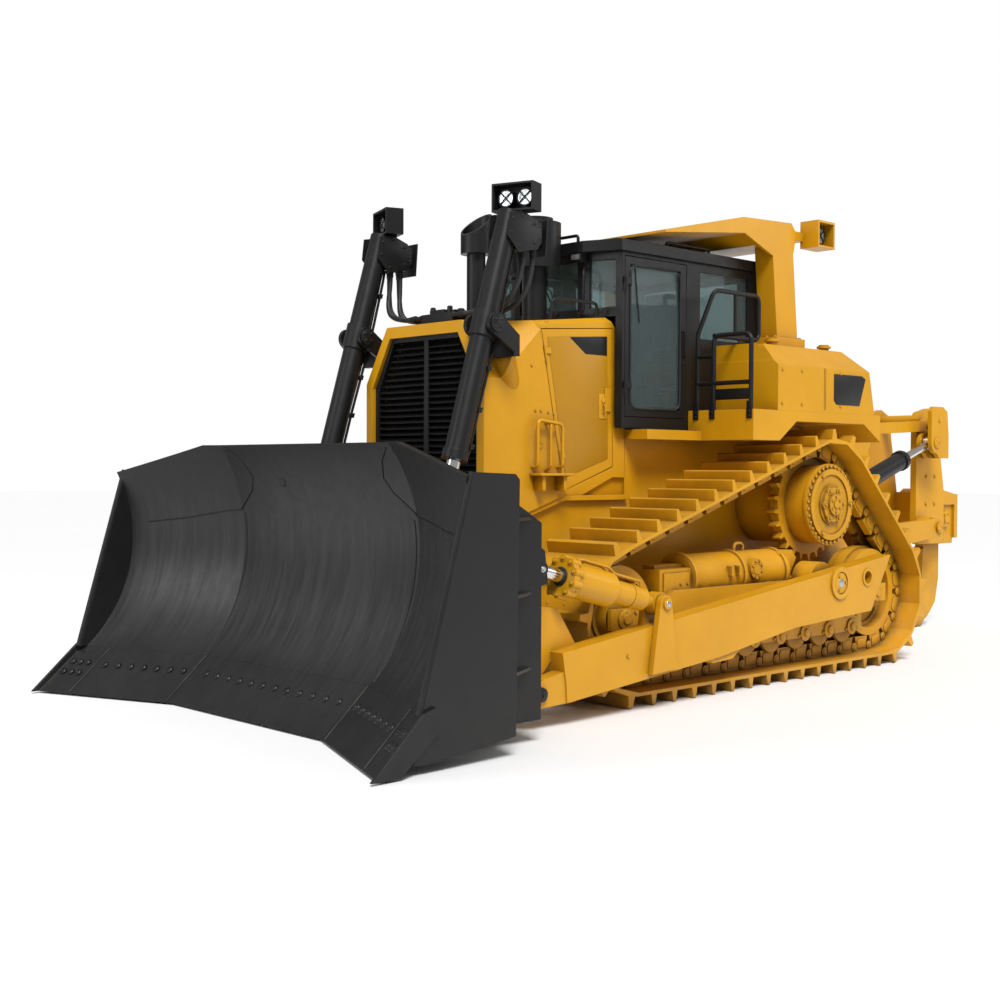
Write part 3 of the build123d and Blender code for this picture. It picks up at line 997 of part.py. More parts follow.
def ripper_bracket():
    """Plates bolted to the rear of the case that carry the ripper's pins."""
    parts = [block(-2460, -2400, -FRAME_HALF, FRAME_HALF, 900, 1840)]
    for side in (1, -1):
        for y0, y1 in ((560, 600), (440, 470)):
            a, b = sorted((side * y0, side * y1))
            parts.append(prism("y", [(-2440, 920), (-2440, 2300), (-2640, 2300), (-2800, 2250), (-2800, 2060),
                                     (-2750, 1980), (-2750, 1300), (-2800, 1200), (-2800, 1000), (-2700, 920)],
                               a, b))
    parts += mirrored_disc(RIPPER_FOOT, RIPPER_PIN, 465, 565)
    parts += mirrored_disc(RIPPER_CYLINDER_FOOT, LINK_PIN, 465, 565)
    parts += mirrored_disc(LINK_FOOT, LINK_PIN, LINK_INNER_Y - 10, 445)
    return joined(*parts)


def ripper_frame():
    """Lower frame: two side beams joined by a cross box."""
    parts = []
    for side in (1, -1):
        a, b = sorted((side * BEAM_INNER_Y, side * BEAM_OUTER_Y))
        parts.append(prism("y", [(-2720, 980), (-2720, 1180), (-4230, 1250), (-4230, 1050), (-3500, 980)], a, b))
        parts.append(disc(RIPPER_FOOT[0], RIPPER_FOOT[1], 100, a, b))
        parts.append(disc(RIPPER_KNEE[0], RIPPER_KNEE[1], 100, a, b))
    parts.append(block(-3500, -3200, -500, 500, 1000, 1160))
    frame = joined(*parts)
    for place in (RIPPER_FOOT, RIPPER_KNEE):
        frame = frame - disc(place[0], place[1], RIPPER_PIN + SEAT, -BEAM_OUTER_Y - 1, BEAM_OUTER_Y + 1)
    return frame


def ripper_carriage():
    """Upright plates, the head box that holds the shank and the push block at the rear."""
    parts = []
    for side in (1, -1):
        a, b = sorted((side * 260, side * 330))
        parts.append(prism("y", [(-4140, 2330), (-4180, 2400), (-4400, 2450), (-4560, 2380), (-4740, 1520), (-4740, 960),
                                 (-4200, 960), (-4140, 1100)], a, b))
        c, d = sorted((side * 320, side * 603))
        parts.append(prism("y", [(-4330, 1900), (-4330, 2140), (-4250, 2140), (-4250, 1900)], c, d))
        for ear in (BEAM_INNER_Y - 10 - LUG, BEAM_OUTER_Y + 10):
            e, f = sorted((side * ear, side * (ear + LUG)))
            parts.append(prism("y", [(-4330, 1900), (-4330, 2140), (-4180, 2190), (-4080, 2170), (-4080, 1950),
                                     (-4130, 1900)], e, f))
            parts.append(disc(RIPPER_EYE[0], RIPPER_EYE[1], 110, e, f))
        e, f = sorted((side * (BEAM_OUTER_Y + 10), side * (BEAM_OUTER_Y + 10 + LUG)))
        parts.append(prism("y", [(-4330, 2130), (-4300, 2400), (-4210, 2450), (-4010, 2450), (-3970, 2400), (-3970, 2060),
                                 (-4080, 1990)], e, f))
    parts += mirrored_disc(RIPPER_KNEE, 110, 325, 470)
    parts += mirrored_disc(RIPPER_KNEE, RIPPER_PIN, 465, BEAM_OUTER_Y + 15)
    parts += mirrored_disc(LINK_KNEE, LINK_PIN, 325, LINK_OUTER_Y + 12)
    parts.append(block(-4740, -4700, -330, 330, 960, 1520))
    parts.append(rod((-4420, -300, 2320), (-4420, 300, 2320), 62))
    parts.append(block(-5170, -4700, -200, 200, 940, 1400))
    parts.append(prism("y", [(-5170, 1380), (-4700, 1380), (-4700, 1490), (-4830, 1560), (-5170, 1500)], -230, 230))
    parts.append(block(PUSH_BLOCK_REAR_X, -5160, -230, 230, 1000, 1500))
    for side in (1, -1):
        parts.append(prism("z", [(-4700, side * 320), (-5000, side * 195), (-4700, side * 195)], 980, 1460))
    return joined(*parts) - block(SHANK_REAR_X - 5, SHANK_FRONT_X + 5, -SHANK_Y - SEAT, SHANK_Y + SEAT, 900, 1700)


def ripper_shank():
    rear, front = SHANK_REAR_X, SHANK_FRONT_X
    outline = [(rear, 1620), (front, 1620), (front, 520), (front + 90, 210), (front + 215, 20), (front + 80, 20),
               (front - 120, 110), (front - 280, 260), (rear, 520)]
    shank = prism("y", outline, -SHANK_Y, SHANK_Y)
    guard = prism("y", [(front - 5, 900), (front + 22, 880), (front + 30, 520), (front + 118, 225), (front + 85, 205),
                        (front - 5, 500)], -SHANK_Y - 10, SHANK_Y + 10)
    tip = prism("y", [(front + 70, 270), (front + 118, 225), (front + 225, 15), (front + 60, 15), (front - 60, 130)],
                -SHANK_Y - 22, SHANK_Y + 22)
    return joined(shank, guard, tip)


def ripper_links():
    parts = []
    for side in (1, -1):
        a, b = sorted((side * LINK_INNER_Y, side * LINK_OUTER_Y))
        body = joined(disc(LINK_FOOT[0], LINK_FOOT[1], 85, a, b), disc(LINK_KNEE[0], LINK_KNEE[1], 85, a, b))
        (fx, fz), (kx, kz) = LINK_FOOT, LINK_KNEE
        body = body + prism("y", [(fx - 40, fz + 58), (kx + 40, kz + 58), (kx + 40, kz - 58), (fx - 40, fz - 58)], a, b)
        for place in (LINK_FOOT, LINK_KNEE):
            body = body - disc(place[0], place[1], LINK_PIN + SEAT, a - 1, b + 1)
        parts.append(body)
    return parts


def ripper_barrels():
    length = math.dist(RIPPER_CYLINDER_FOOT, RIPPER_EYE)
    body = along(RIPPER_CYLINDER_FOOT, RIPPER_EYE, 515, 60, 240, 33)
    body = body + along(RIPPER_CYLINDER_FOOT, RIPPER_EYE, 515, 220, length - 560, 92)
    body = body + along(RIPPER_CYLINDER_FOOT, RIPPER_EYE, 515, length - 640, length - 590, 106)
    foot = disc(RIPPER_CYLINDER_FOOT[0], RIPPER_CYLINDER_FOOT[1], 80, BEAM_INNER_Y, BEAM_OUTER_Y)
    foot = foot - disc(RIPPER_CYLINDER_FOOT[0], RIPPER_CYLINDER_FOOT[1], LINK_PIN + SEAT, BEAM_INNER_Y - 1,
                       BEAM_OUTER_Y + 1)
    body = body - disc(RIPPER_CYLINDER_FOOT[0], RIPPER_CYLINDER_FOOT[1], 60, BEAM_INNER_Y - 1, BEAM_OUTER_Y + 1)
    bore = along(RIPPER_CYLINDER_FOOT, RIPPER_EYE, 515, 240, length, RIPPER_ROD + BORE_SEAT)
    return both_sides(joined(body, foot) - bore)


def ripper_rods():
    length = math.dist(RIPPER_CYLINDER_FOOT, RIPPER_EYE)
    bar = along(RIPPER_CYLINDER_FOOT, RIPPER_EYE, 515, length - 960, length - 50, RIPPER_ROD)
    eye = disc(RIPPER_EYE[0], RIPPER_EYE[1], 75, BEAM_INNER_Y, BEAM_OUTER_Y)
    return both_sides(joined(bar, eye) - disc(RIPPER_EYE[0], RIPPER_EYE[1], 36, BEAM_INNER_Y - 1, BEAM_OUTER_Y + 1))


# ---------------------------------------------------------------- write every piece
PIECES = {
    "main_frame": main_frame, "engine_block": engine_block, "radiator_guard": radiator_guard, "grille": grille,
    "hood": hood, "engine_door_left": lambda: engine_door(1), "engine_door_right": lambda: engine_door(-1),
    "exhaust_stack": exhaust_stack, "precleaner": precleaner,
    "cab_frame": cab_frame, "cab_roof": cab_roof, "cab_windows": cab_windows, "operator_seat": operator_seat,
    "cab_door_left": lambda: cab_door(1), "cab_door_right": lambda: cab_door(-1),
    "door_glass_left": lambda: door_glass(1), "door_glass_right": lambda: door_glass(-1),
    "rops": rops, "fuel_tank": fuel_tank, "fenders": fenders, "side_tanks": side_tanks, "handrails": handrails,
    "track_left": lambda: track(1), "track_right": lambda: track(-1), "roller_frames": roller_frames,
    "idlers": idlers, "track_rollers": track_rollers, "sprockets": sprockets, "final_drives": final_drives,
    "push_arms": push_arms, "moldboard": moldboard, "cutting_edges": cutting_edges, "blade_back": blade_back,
    "lift_yokes": lift_yokes, "lift_barrels": lift_barrels, "lift_rods": lift_rods, "tilt_barrels": tilt_barrels, "tilt_rods": tilt_rods,
    "ripper_bracket": ripper_bracket, "ripper_frame": ripper_frame, "ripper_carriage": ripper_carriage,
    "ripper_shank": ripper_shank, "ripper_links": ripper_links, "ripper_barrels": ripper_barrels,
    "ripper_rods": ripper_rods,
}

os.makedirs("parts", exist_ok=True)
for name, make in PIECES.items():
    export(name, make())
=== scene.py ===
"""Looks for a packed track-type bulldozer, laid out as an add-on. Metres; +X forward, +Y left, +Z up."""

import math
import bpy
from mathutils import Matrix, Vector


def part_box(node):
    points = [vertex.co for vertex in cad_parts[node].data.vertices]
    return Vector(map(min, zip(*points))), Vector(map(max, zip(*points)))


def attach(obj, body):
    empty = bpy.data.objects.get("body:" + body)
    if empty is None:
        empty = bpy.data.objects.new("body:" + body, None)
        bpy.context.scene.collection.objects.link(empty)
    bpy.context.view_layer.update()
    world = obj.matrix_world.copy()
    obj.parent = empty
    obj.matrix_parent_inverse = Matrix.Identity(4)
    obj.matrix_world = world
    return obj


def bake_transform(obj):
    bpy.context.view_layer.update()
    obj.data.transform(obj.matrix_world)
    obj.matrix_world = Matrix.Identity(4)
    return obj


bl_info = {
    "name": "Bulldozer finish",
    "version": (1, 0, 0),
    "blender": (4, 5, 0),
    "location": "3D View > Sidebar > Bulldozer",
    "description": "Paints a packed bulldozer and adds its hoses, lamps, bolts, chain links and cab fittings",
    "category": "Object",
}

import bmesh
import bpy
from bpy.props import FloatProperty, FloatVectorProperty, PointerProperty
from mathutils import Matrix, Vector

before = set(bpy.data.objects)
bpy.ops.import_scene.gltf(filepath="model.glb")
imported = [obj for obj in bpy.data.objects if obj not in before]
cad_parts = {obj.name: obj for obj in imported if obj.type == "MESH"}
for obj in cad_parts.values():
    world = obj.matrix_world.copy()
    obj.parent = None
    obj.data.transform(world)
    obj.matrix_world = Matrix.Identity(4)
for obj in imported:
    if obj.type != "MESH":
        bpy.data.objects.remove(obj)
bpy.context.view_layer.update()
SIDES = ((1, "left"), (-1, "right"))
UP = (0, 0, 1)


def colour(name, text, value):
    return FloatVectorProperty(name=name, description=text, subtype="COLOR", size=3, min=0, max=1,
                               default=value)


def length(name, text, value):
    return FloatProperty(name=name, description=text, subtype="DISTANCE", unit="LENGTH", min=0, default=value)


class DOZER_PG_finish(bpy.types.PropertyGroup):
    """Colours of the finishes"""
    body_yellow: colour("Body yellow", "Paint of the body, the arms and the tracks", (0.600, 0.286, 0.004))
    charcoal: colour("Charcoal", "Paint of the blade, cab and lift cylinders", (0.0085, 0.0085, 0.0090))
    # Lighter colour of the blade face: bare steel where soil wore the paint off, with a painted sheen.
    scoured_and_sheen: colour("Scoured steel", "Blade face rubbed by soil", (0.050, 0.050, 0.052))
    chrome: colour("Chrome", "Cylinder rods", (0.72, 0.72, 0.73))
    rubber: colour("Rubber", "Hoses, seals and grips", (0.012, 0.012, 0.013))
    glass: colour("Glass", "Tint of the cab glass", (0.46, 0.59, 0.59))
    cloth: colour("Cloth", "Seat cover", (0.030, 0.031, 0.034))
    zinc: colour("Zinc", "Plated bolts and caps", (0.52, 0.53, 0.55))
    core: colour("Core", "Radiator core", (0.006, 0.006, 0.007))
    plate: colour("Plate", "Grille, badge plates and step brackets", (0.008, 0.008, 0.0085))
    tread: colour("Tread", "Anti-slip strips of the steps", (0.030, 0.030, 0.030))
    reflector: colour("Reflector", "Bowls of the lamps", (0.86, 0.86, 0.87))
    lens: colour("Lens", "Glass of the lamps and the display", (0.93, 0.95, 0.96))
    dust: colour("Dust", "Film on upward faces", (0.42, 0.36, 0.28))
    # Colour of the painted shade, with oily muck, in corners and gaps, and of the painted shade in the holes
    # of the mesh sheets.
    dirt_and_shade: colour("Dirt", "Oily dirt in corners", (0.045, 0.022, 0.008))
    floor: colour("Floor", "Studio floor", (0.86, 0.86, 0.86))


class DOZER_PG_sizes(bpy.types.PropertyGroup):
    """Sizes of the added pieces and of the wear"""
    edge_round: length("Edge rounding", "Radius that the light sees on sharp edges", 0.006)
    # Reach of the ambient occlusion that paints shade, with muck, into corners.
    grime_and_shade_reach: length("Dirt reach", "How far out of a corner the dirt comes", 0.13)
    hose_radius: length("Hose radius", "Lift cylinder hoses", 0.020)


def rgba(name):
    """Colour of the scene's finish with full opacity."""
    return [*getattr(bpy.context.scene.dozer_finish, name), 1]


# ---------------------------------------------------------------- shader nodes
class Wiring:
    """Adds nodes to a tree with few words."""

    def __init__(self, tree):
        self.tree = tree

    def feed(self, socket, value):
        """Link or set one input."""
        if isinstance(value, bpy.types.NodeSocket):
            self.tree.links.new(value, socket)
        else:
            socket.default_value = value

    def fill(self, node, **values):
        """Feed inputs by name, with an underscore for each space."""
        for key, value in values.items():
            self.feed(node.inputs[key.replace("_", " ")], value)

    def put(self, kind, **values):
        """New node: lower-case names set its properties, the others its inputs."""
        node = self.tree.nodes.new("ShaderNode" + kind)
        for key, value in values.items():
            if key.islower():
                setattr(node, key, value)
            else:
                self.fill(node, **{key: value})
        return node

    def math(self, operation, a, b, clamp=False):
        node = self.put("Math", operation=operation, use_clamp=clamp)
        self.feed(node.inputs[0], a)
        self.feed(node.inputs[1], b)
        return node.outputs[0]

    def times(self, a, b, clamp=False):
        return self.math("MULTIPLY", a, b, clamp)

    def mix(self, factor, a, b):
        """Colour between a and b."""
        node = self.put("Mix", data_type="RGBA", Factor=factor)
        self.feed(node.inputs[6], a)
        self.feed(node.inputs[7], b)
        return node.outputs[2]

    def ramp(self, value, low, high, to_low=0.0, to_high=1.0):
        """Value carried from one range to another and held at its ends."""
        node = self.put("MapRange")
        for index, item in enumerate((value, low, high, to_low, to_high)):
            self.feed(node.inputs[index], item)
        return node.outputs[0]

    def noise(self, vector, scale, detail=3.0, roughness=0.55):
        return self.put("TexNoise", Vector=vector, Scale=scale, Detail=detail, Roughness=roughness).outputs[0]

    def place(self):
        """Position on the object."""
        return self.put("TexCoord").outputs["Object"]

    def parts(self, output):
        """X, Y and Z outputs of one of the object's coordinates."""
        return self.put("SeparateXYZ", Vector=self.put("TexCoord").outputs[output]).outputs


def node_group(name, inputs, outputs):
    """Empty shader group: its wiring, what its inputs give and the node that its outputs end in."""
    group = bpy.data.node_groups.new(name, "ShaderNodeTree")
    for label, default in inputs.items():
        socket = group.interface.new_socket(label, in_out="INPUT", socket_type="NodeSocketFloat")
        socket.default_value = default
    for label, kind in outputs.items():
        group.interface.new_socket(label, in_out="OUTPUT", socket_type="NodeSocket" + kind)
    return Wiring(group), group.nodes.new("NodeGroupInput").outputs, group.nodes.new("NodeGroupOutput")


def edge_group():
    """Rounded normal for sharp edges, and a mask that is 1 along them."""
    w, given, end = node_group("worn edge", {"Radius": 0.006, "Wear": 0.5},
                               {"Normal": "Vector", "Edge": "Float"})
    bevel = w.put("Bevel", samples=4, Radius=given["Radius"])
    dot = w.put("VectorMath", operation="DOT_PRODUCT")
    w.feed(dot.inputs[0], bevel.outputs[0])
    w.feed(dot.inputs[1], w.put("NewGeometry").outputs["True Normal"])
    patches = w.ramp(w.noise(w.place(), 9.0, 5.0, 0.7), 0.42, 0.62)
    edge = w.ramp(dot.outputs["Value"], 0.97, 0.75)
    w.fill(end, Normal=bevel.outputs[0], Edge=w.times(w.times(edge, patches), given["Wear"], clamp=True))
    return w.tree


def grain_group():
    """Slow colour drift, roughness drift and fine height of a painted or cast skin."""
    w, given, end = node_group("skin grain", {"Fine Scale": 220.0, "Drift Scale": 1.3},
                               {"Drift": "Float", "Rub": "Float", "Height": "Float"})
    place = w.place()
    w.fill(end, Drift=w.noise(place, given["Drift Scale"], 4.0, 0.6),
           Rub=w.noise(place, w.times(given["Drift Scale"], 9.0), 6.0, 0.65),
           Height=w.noise(place, given["Fine Scale"], 2.0, 0.5))
    return w.tree


def dust_group():
    """Film of dust: on faces that look up, and low down near the ground."""
    w, given, end = node_group("settled dust", {"Upward": 0.25, "Low": 0.4, "Top Height": 0.9},
                               {"Mask": "Float"})
    clouds = w.ramp(w.noise(w.place(), 3.5, 7.0, 0.7), 0.35, 0.7)
    up = w.times(w.ramp(w.parts("Normal")["Z"], 0.35, 0.95), given["Upward"])
    low = w.times(w.ramp(w.parts("Object")["Z"], given["Top Height"], 0.0), given["Low"])
    w.fill(end, Mask=w.times(w.math("MAXIMUM", up, low), clouds, clamp=True))
    return w.tree


def crevice_dirt_and_shade_group():
    """Mask of muck and painted shade in corners and between close pieces, taken from ambient occlusion."""
    w, given, end = node_group("crevice dirt", {"Reach": 0.10, "Amount": 0.5}, {"Mask": "Float"})
    sky = w.put("AmbientOcclusion", samples=4, Distance=given["Reach"]).outputs["AO"]
    patches = w.ramp(w.noise(w.place(), 6.0, 6.0, 0.7), 0.30, 0.62, 0.45, 1.0)
    closed = w.ramp(sky, 0.92, 0.35)
    w.fill(end, Mask=w.times(w.times(closed, patches), given["Amount"], clamp=True))
    return w.tree


GROUPS = {}


def effect(w, make, **values):
    """Outputs of a shared group, which is made at its first use."""
    if make not in GROUPS:
        GROUPS[make] = make()
    node = w.put("Group", node_tree=GROUPS[make])
    w.fill(node, **values)
    return node.outputs


# ---------------------------------------------------------------- materials
def painted(w, shader, tint, rough=(0.30, 0.42), metal=0.0, wear=0.5, under=(0.10, 0.085, 0.075),
            dust=(0.18, 0.25), grain=260.0, bump=0.10, coat=0.25, drift=0.10, gloss=0.5, grime_and_shade=0.0):
    """Sprayed or bare metal skin: colour drift, worn edges, dust, fine grain, a clear coat and, where asked,
    painted shade with muck in the corners.
    """
    sizes = bpy.context.scene.dozer_sizes
    edge = effect(w, edge_group, Radius=sizes.edge_round, Wear=wear)
    grains = effect(w, grain_group, Fine_Scale=grain)
    film = effect(w, dust_group, Upward=dust[0], Low=dust[1])["Mask"]
    base = rgba(tint)[:3]
    dark = [c * (1 - drift * 1.6) for c in base] + [1]
    light = [min(1, c * (1 + drift)) for c in base] + [1]
    skin = w.mix(w.ramp(grains["Drift"], 0.3, 0.7), dark, light)
    skin = w.mix(edge["Edge"], skin, [*under, 1])
    skin = w.mix(film, skin, rgba("dust"))
    # Painted shade with muck: corners and gaps that the surroundings hide from the light are darkened towards
    # a brown.
    if grime_and_shade:
        dirt_and_shade = effect(w, crevice_dirt_and_shade_group, Reach=sizes.grime_and_shade_reach, Amount=grime_and_shade)["Mask"]
        skin = w.mix(dirt_and_shade, skin, rgba("dirt_and_shade"))
    matte = w.math("ADD", w.ramp(grains["Rub"], 0.3, 0.7, *rough), w.times(film, 0.35), clamp=True)
    height = w.put("Bump", Strength=bump, Distance=0.002, Height=grains["Height"], Normal=edge["Normal"])
    w.fill(shader, Base_Color=skin, Roughness=matte, Metallic=metal, Specular_IOR_Level=gloss,
           Coat_Weight=coat, Coat_Roughness=0.25, Normal=height.outputs[0])


def clear(w, shader, tint, ior, share):
    """Glass that lets a share of the light straight through, with a slight tint and smear."""
    place, tint = w.place(), rgba(tint)
    w.fill(shader, Base_Color=w.mix(w.ramp(w.noise(place, 1.5), 0.3, 0.7), tint, [c * 0.93 for c in tint]),
           Roughness=w.ramp(w.noise(place, 30.0, 4.0), 0.4, 0.8, 0.015, 0.06), Transmission_Weight=share,
           IOR=ior, Specular_IOR_Level=0.4, Coat_Weight=0.22, Coat_Roughness=0.02)


def rub_and_sheen_blade(w, shader):
    """Blade face lighter in upright streaks where it looks forward, most at middle height: partly paint worn
    off by soil, partly a painted sheen.
    """
    stretched = w.put("Mapping", Vector=w.place(), Scale=(1.0, 9.0, 0.7))
    rise = w.parts("Object")["Z"]
    ahead = w.ramp(w.parts("Normal")["X"], 0.55, 0.9)
    streaks = w.ramp(w.noise(stretched.outputs[0], 2.2, 6.0, 0.7), 0.38, 0.66)
    height = w.times(w.ramp(rise, 1.75, 0.75), w.ramp(rise, 0.0, 0.45))
    rubbed_and_sheen = w.times(w.times(ahead, height), w.math("ADD", w.times(streaks, 0.7), 0.3))
    paint, matte = [shader.inputs[label].links[0].from_socket for label in ("Base Color", "Roughness")]
    # Painted sheen with wear: the face is mixed towards the lighter steel colour, and made glossier.
    w.fill(shader, Base_Color=w.mix(w.times(rubbed_and_sheen, 0.75), paint, rgba("scoured_and_sheen")),
           Roughness=w.math("SUBTRACT", matte, w.times(rubbed_and_sheen, 0.10), clamp=True))


def punch_holes(w, shader):
    """Fine grid of holes in a sheet, painted as dark dots: painted shade of the space behind the holes."""
    pitch = 0.012
    place = w.parts("Object")
    waves = [w.math("SINE", w.times(place[axis], 2 * math.pi / pitch), 0.0) for axis in ("X", "Z")]
    holes = w.ramp(w.times(*waves), 0.05, 0.35)
    paint = shader.inputs["Base Color"].links[0].from_socket
    # Painted shade: the dots take the colour of the painted corner shade.
    w.fill(shader, Base_Color=w.mix(w.times(holes, 0.9), paint, rgba("dirt_and_shade")))


CLEAN = (0.0, 0.0)
CHARCOAL = dict(rough=(0.34, 0.46), under=(0.10, 0.10, 0.105), wear=0.3, coat=0.04)
PAINTS = {      # colour, and where the material differs from plain gloss paint
    # The corner amounts of the yellows paint shade, with muck, into their corners.
    "machine_yellow": ("body_yellow", dict(dust=(0.04, 0.05), coat=0.10, drift=0.06, gloss=0.30, grime_and_shade=0.6)),
    "cast_yellow": ("body_yellow", dict(rough=(0.42, 0.6), wear=0.8, dust=(0.12, 0.22), grain=90.0, bump=0.35,
                                        coat=0.04, drift=0.12, gloss=0.30, grime_and_shade=1.0)),
    "charcoal_paint": ("charcoal", dict(CHARCOAL, dust=(0.03, 0.03), gloss=0.30)),
    "blade_face": ("charcoal", dict(CHARCOAL, dust=(0.02, 0.02), gloss=0.35)),
    "chrome_rod": ("chrome", dict(rough=(0.07, 0.16), metal=1.0, wear=0.0, dust=(0.05, 0.0), bump=0.02,
                                  coat=0.0, drift=0.03)),
    "rubber_black": ("rubber", dict(rough=(0.5, 0.62), wear=0.0, dust=(0.2, 0.2), coat=0.0, bump=0.15)),
    "seat_cloth": ("cloth", dict(rough=(0.8, 0.92), wear=0.0, dust=(0.1, 0.0), coat=0.0, grain=700.0,
                                 bump=0.4)),
    "zinc_plate": ("zinc", dict(rough=(0.22, 0.34), metal=1.0, wear=0.0, dust=CLEAN, coat=0.0, bump=0.05,
                                drift=0.05)),
    "mesh_yellow": ("body_yellow", dict(dust=(0.03, 0.0), coat=0.12, drift=0.06, gloss=0.3)),
    "core_black": ("core", dict(rough=(0.7, 0.8), wear=0.0, dust=CLEAN, coat=0.0)),
    "plate_black": ("plate", dict(rough=(0.34, 0.42), wear=0.1, dust=CLEAN, coat=0.05, gloss=0.3)),
    "step_black": ("tread", dict(rough=(0.8, 0.95), wear=0.0, dust=(0.3, 0.0), coat=0.0, grain=420.0,
                                 bump=0.8)),
    "reflector": ("reflector", dict(rough=(0.05, 0.10), metal=1.0, wear=0.0, dust=CLEAN, coat=0.0, bump=0.0,
                                    drift=0.02)),
}
GLASSES = {"cab_glass": ("glass", 1.02, 0.92), "lens": ("lens", 1.12, 0.86)}      # colour, index and share
LAST_TOUCH = {"blade_face": rub_and_sheen_blade, "mesh_yellow": punch_holes}
MATERIALS = {}


def material(name):
    """Finish of that name, made at its first use."""
    if name not in MATERIALS:
        MATERIALS[name] = bpy.data.materials.new(name)
        MATERIALS[name].use_nodes = True
        w = Wiring(MATERIALS[name].node_tree)
        shader = w.tree.nodes["Principled BSDF"]
        if name in GLASSES:
            clear(w, shader, *GLASSES[name])
        else:
            tint, settings = PAINTS[name]
            painted(w, shader, tint, **settings)
        if name in LAST_TOUCH:
            LAST_TOUCH[name](w, shader)
    return MATERIALS[name]


NODE_FINISH = {
    "cast_yellow": ("track_left", "track_right", "track_rollers", "idlers", "sprockets", "ripper_shank",
                    "roller_frames", "final_drives"),
    "machine_yellow": ("main_frame", "engine_block", "radiator_guard", "hood", "engine_door_left",
                       "engine_door_right", "rops", "fuel_tank", "fenders", "side_tanks", "push_arms",
                       "tilt_barrels", "ripper_bracket", "ripper_frame", "ripper_carriage", "ripper_links"),
    "plate_black": ("grille",),
    "blade_face": ("moldboard", "cutting_edges"),
    "charcoal_paint": ("exhaust_stack", "precleaner", "cab_frame", "cab_roof", "cab_door_left",
                       "cab_door_right", "handrails", "blade_back", "lift_yokes", "lift_barrels",
                       "ripper_barrels"),
    "chrome_rod": ("lift_rods", "tilt_rods", "ripper_rods"),
    "cab_glass": ("cab_windows", "door_glass_left", "door_glass_right"),
    "seat_cloth": ("operator_seat",),
}


class DOZER_OT_finish_nodes(bpy.types.Operator):
    """Give every carried-over piece its paint, chrome, glass or cloth"""
    bl_idname = "dozer.finish_nodes"
    bl_label = "Finish the pieces"

    def execute(self, context):
        for finish, names in NODE_FINISH.items():
            for name in names:
                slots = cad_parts[name].data.materials
                slots.clear()
                slots.append(material(finish))
        return {"FINISHED"}


# ---------------------------------------------------------------- mesh building
def around(place, axis):
    """Matrix that carries the origin to a place and Z onto an axis."""
    turn = Vector(UP).rotation_difference(Vector(axis).normalized())
    return Matrix.Translation(place) @ turn.to_matrix().to_4x4()


def circle(radius, sides, spin=0.0):
    """Points at equal steps round a circle, in XY."""
    angles = [spin + 2 * math.pi * k / sides for k in range(sides)]
    return [(radius * math.cos(angle), radius * math.sin(angle)) for angle in angles]


def at_y(points, y):
    """Points in XZ set at a distance to the side."""
    return [(x, y, z) for x, z in points]


def mirrored(points, side):
    """Points of the left side, or their mirror images for side -1."""
    return [(x, side * y, z) for x, y, z in points]


def rounded(points, bend, steps=5):
    """Path through the points with each corner cut back by bend and rounded."""
    points = [Vector(point) for point in points]
    path = [points[0]]
    for before, corner, after in zip(points, points[1:], points[2:]):
        start = corner + (before - corner).normalized() * min(bend, (before - corner).length * 0.45)
        end = corner + (after - corner).normalized() * min(bend, (after - corner).length * 0.45)
        for step in range(steps + 1):
            share = step / steps
            path.append(start.lerp(corner, share).lerp(corner.lerp(end, share), share))
    return path + [points[-1]]


def drooped(start, leave, end, arrive, steps=22):
    """Curve from start to end with a pull at each end."""
    start, end = Vector(start), Vector(end)
    near, far = start + Vector(leave), end + Vector(arrive)
    path = []
    for step in range(steps + 1):
        t = step / steps
        s = 1 - t
        path.append(start * s ** 3 + near * 3 * t * s ** 2 + far * 3 * t * t * s + end * t ** 3)
    return path


SMOOTH_UP_TO = math.radians(38)     # edges that bend more than this stay sharp


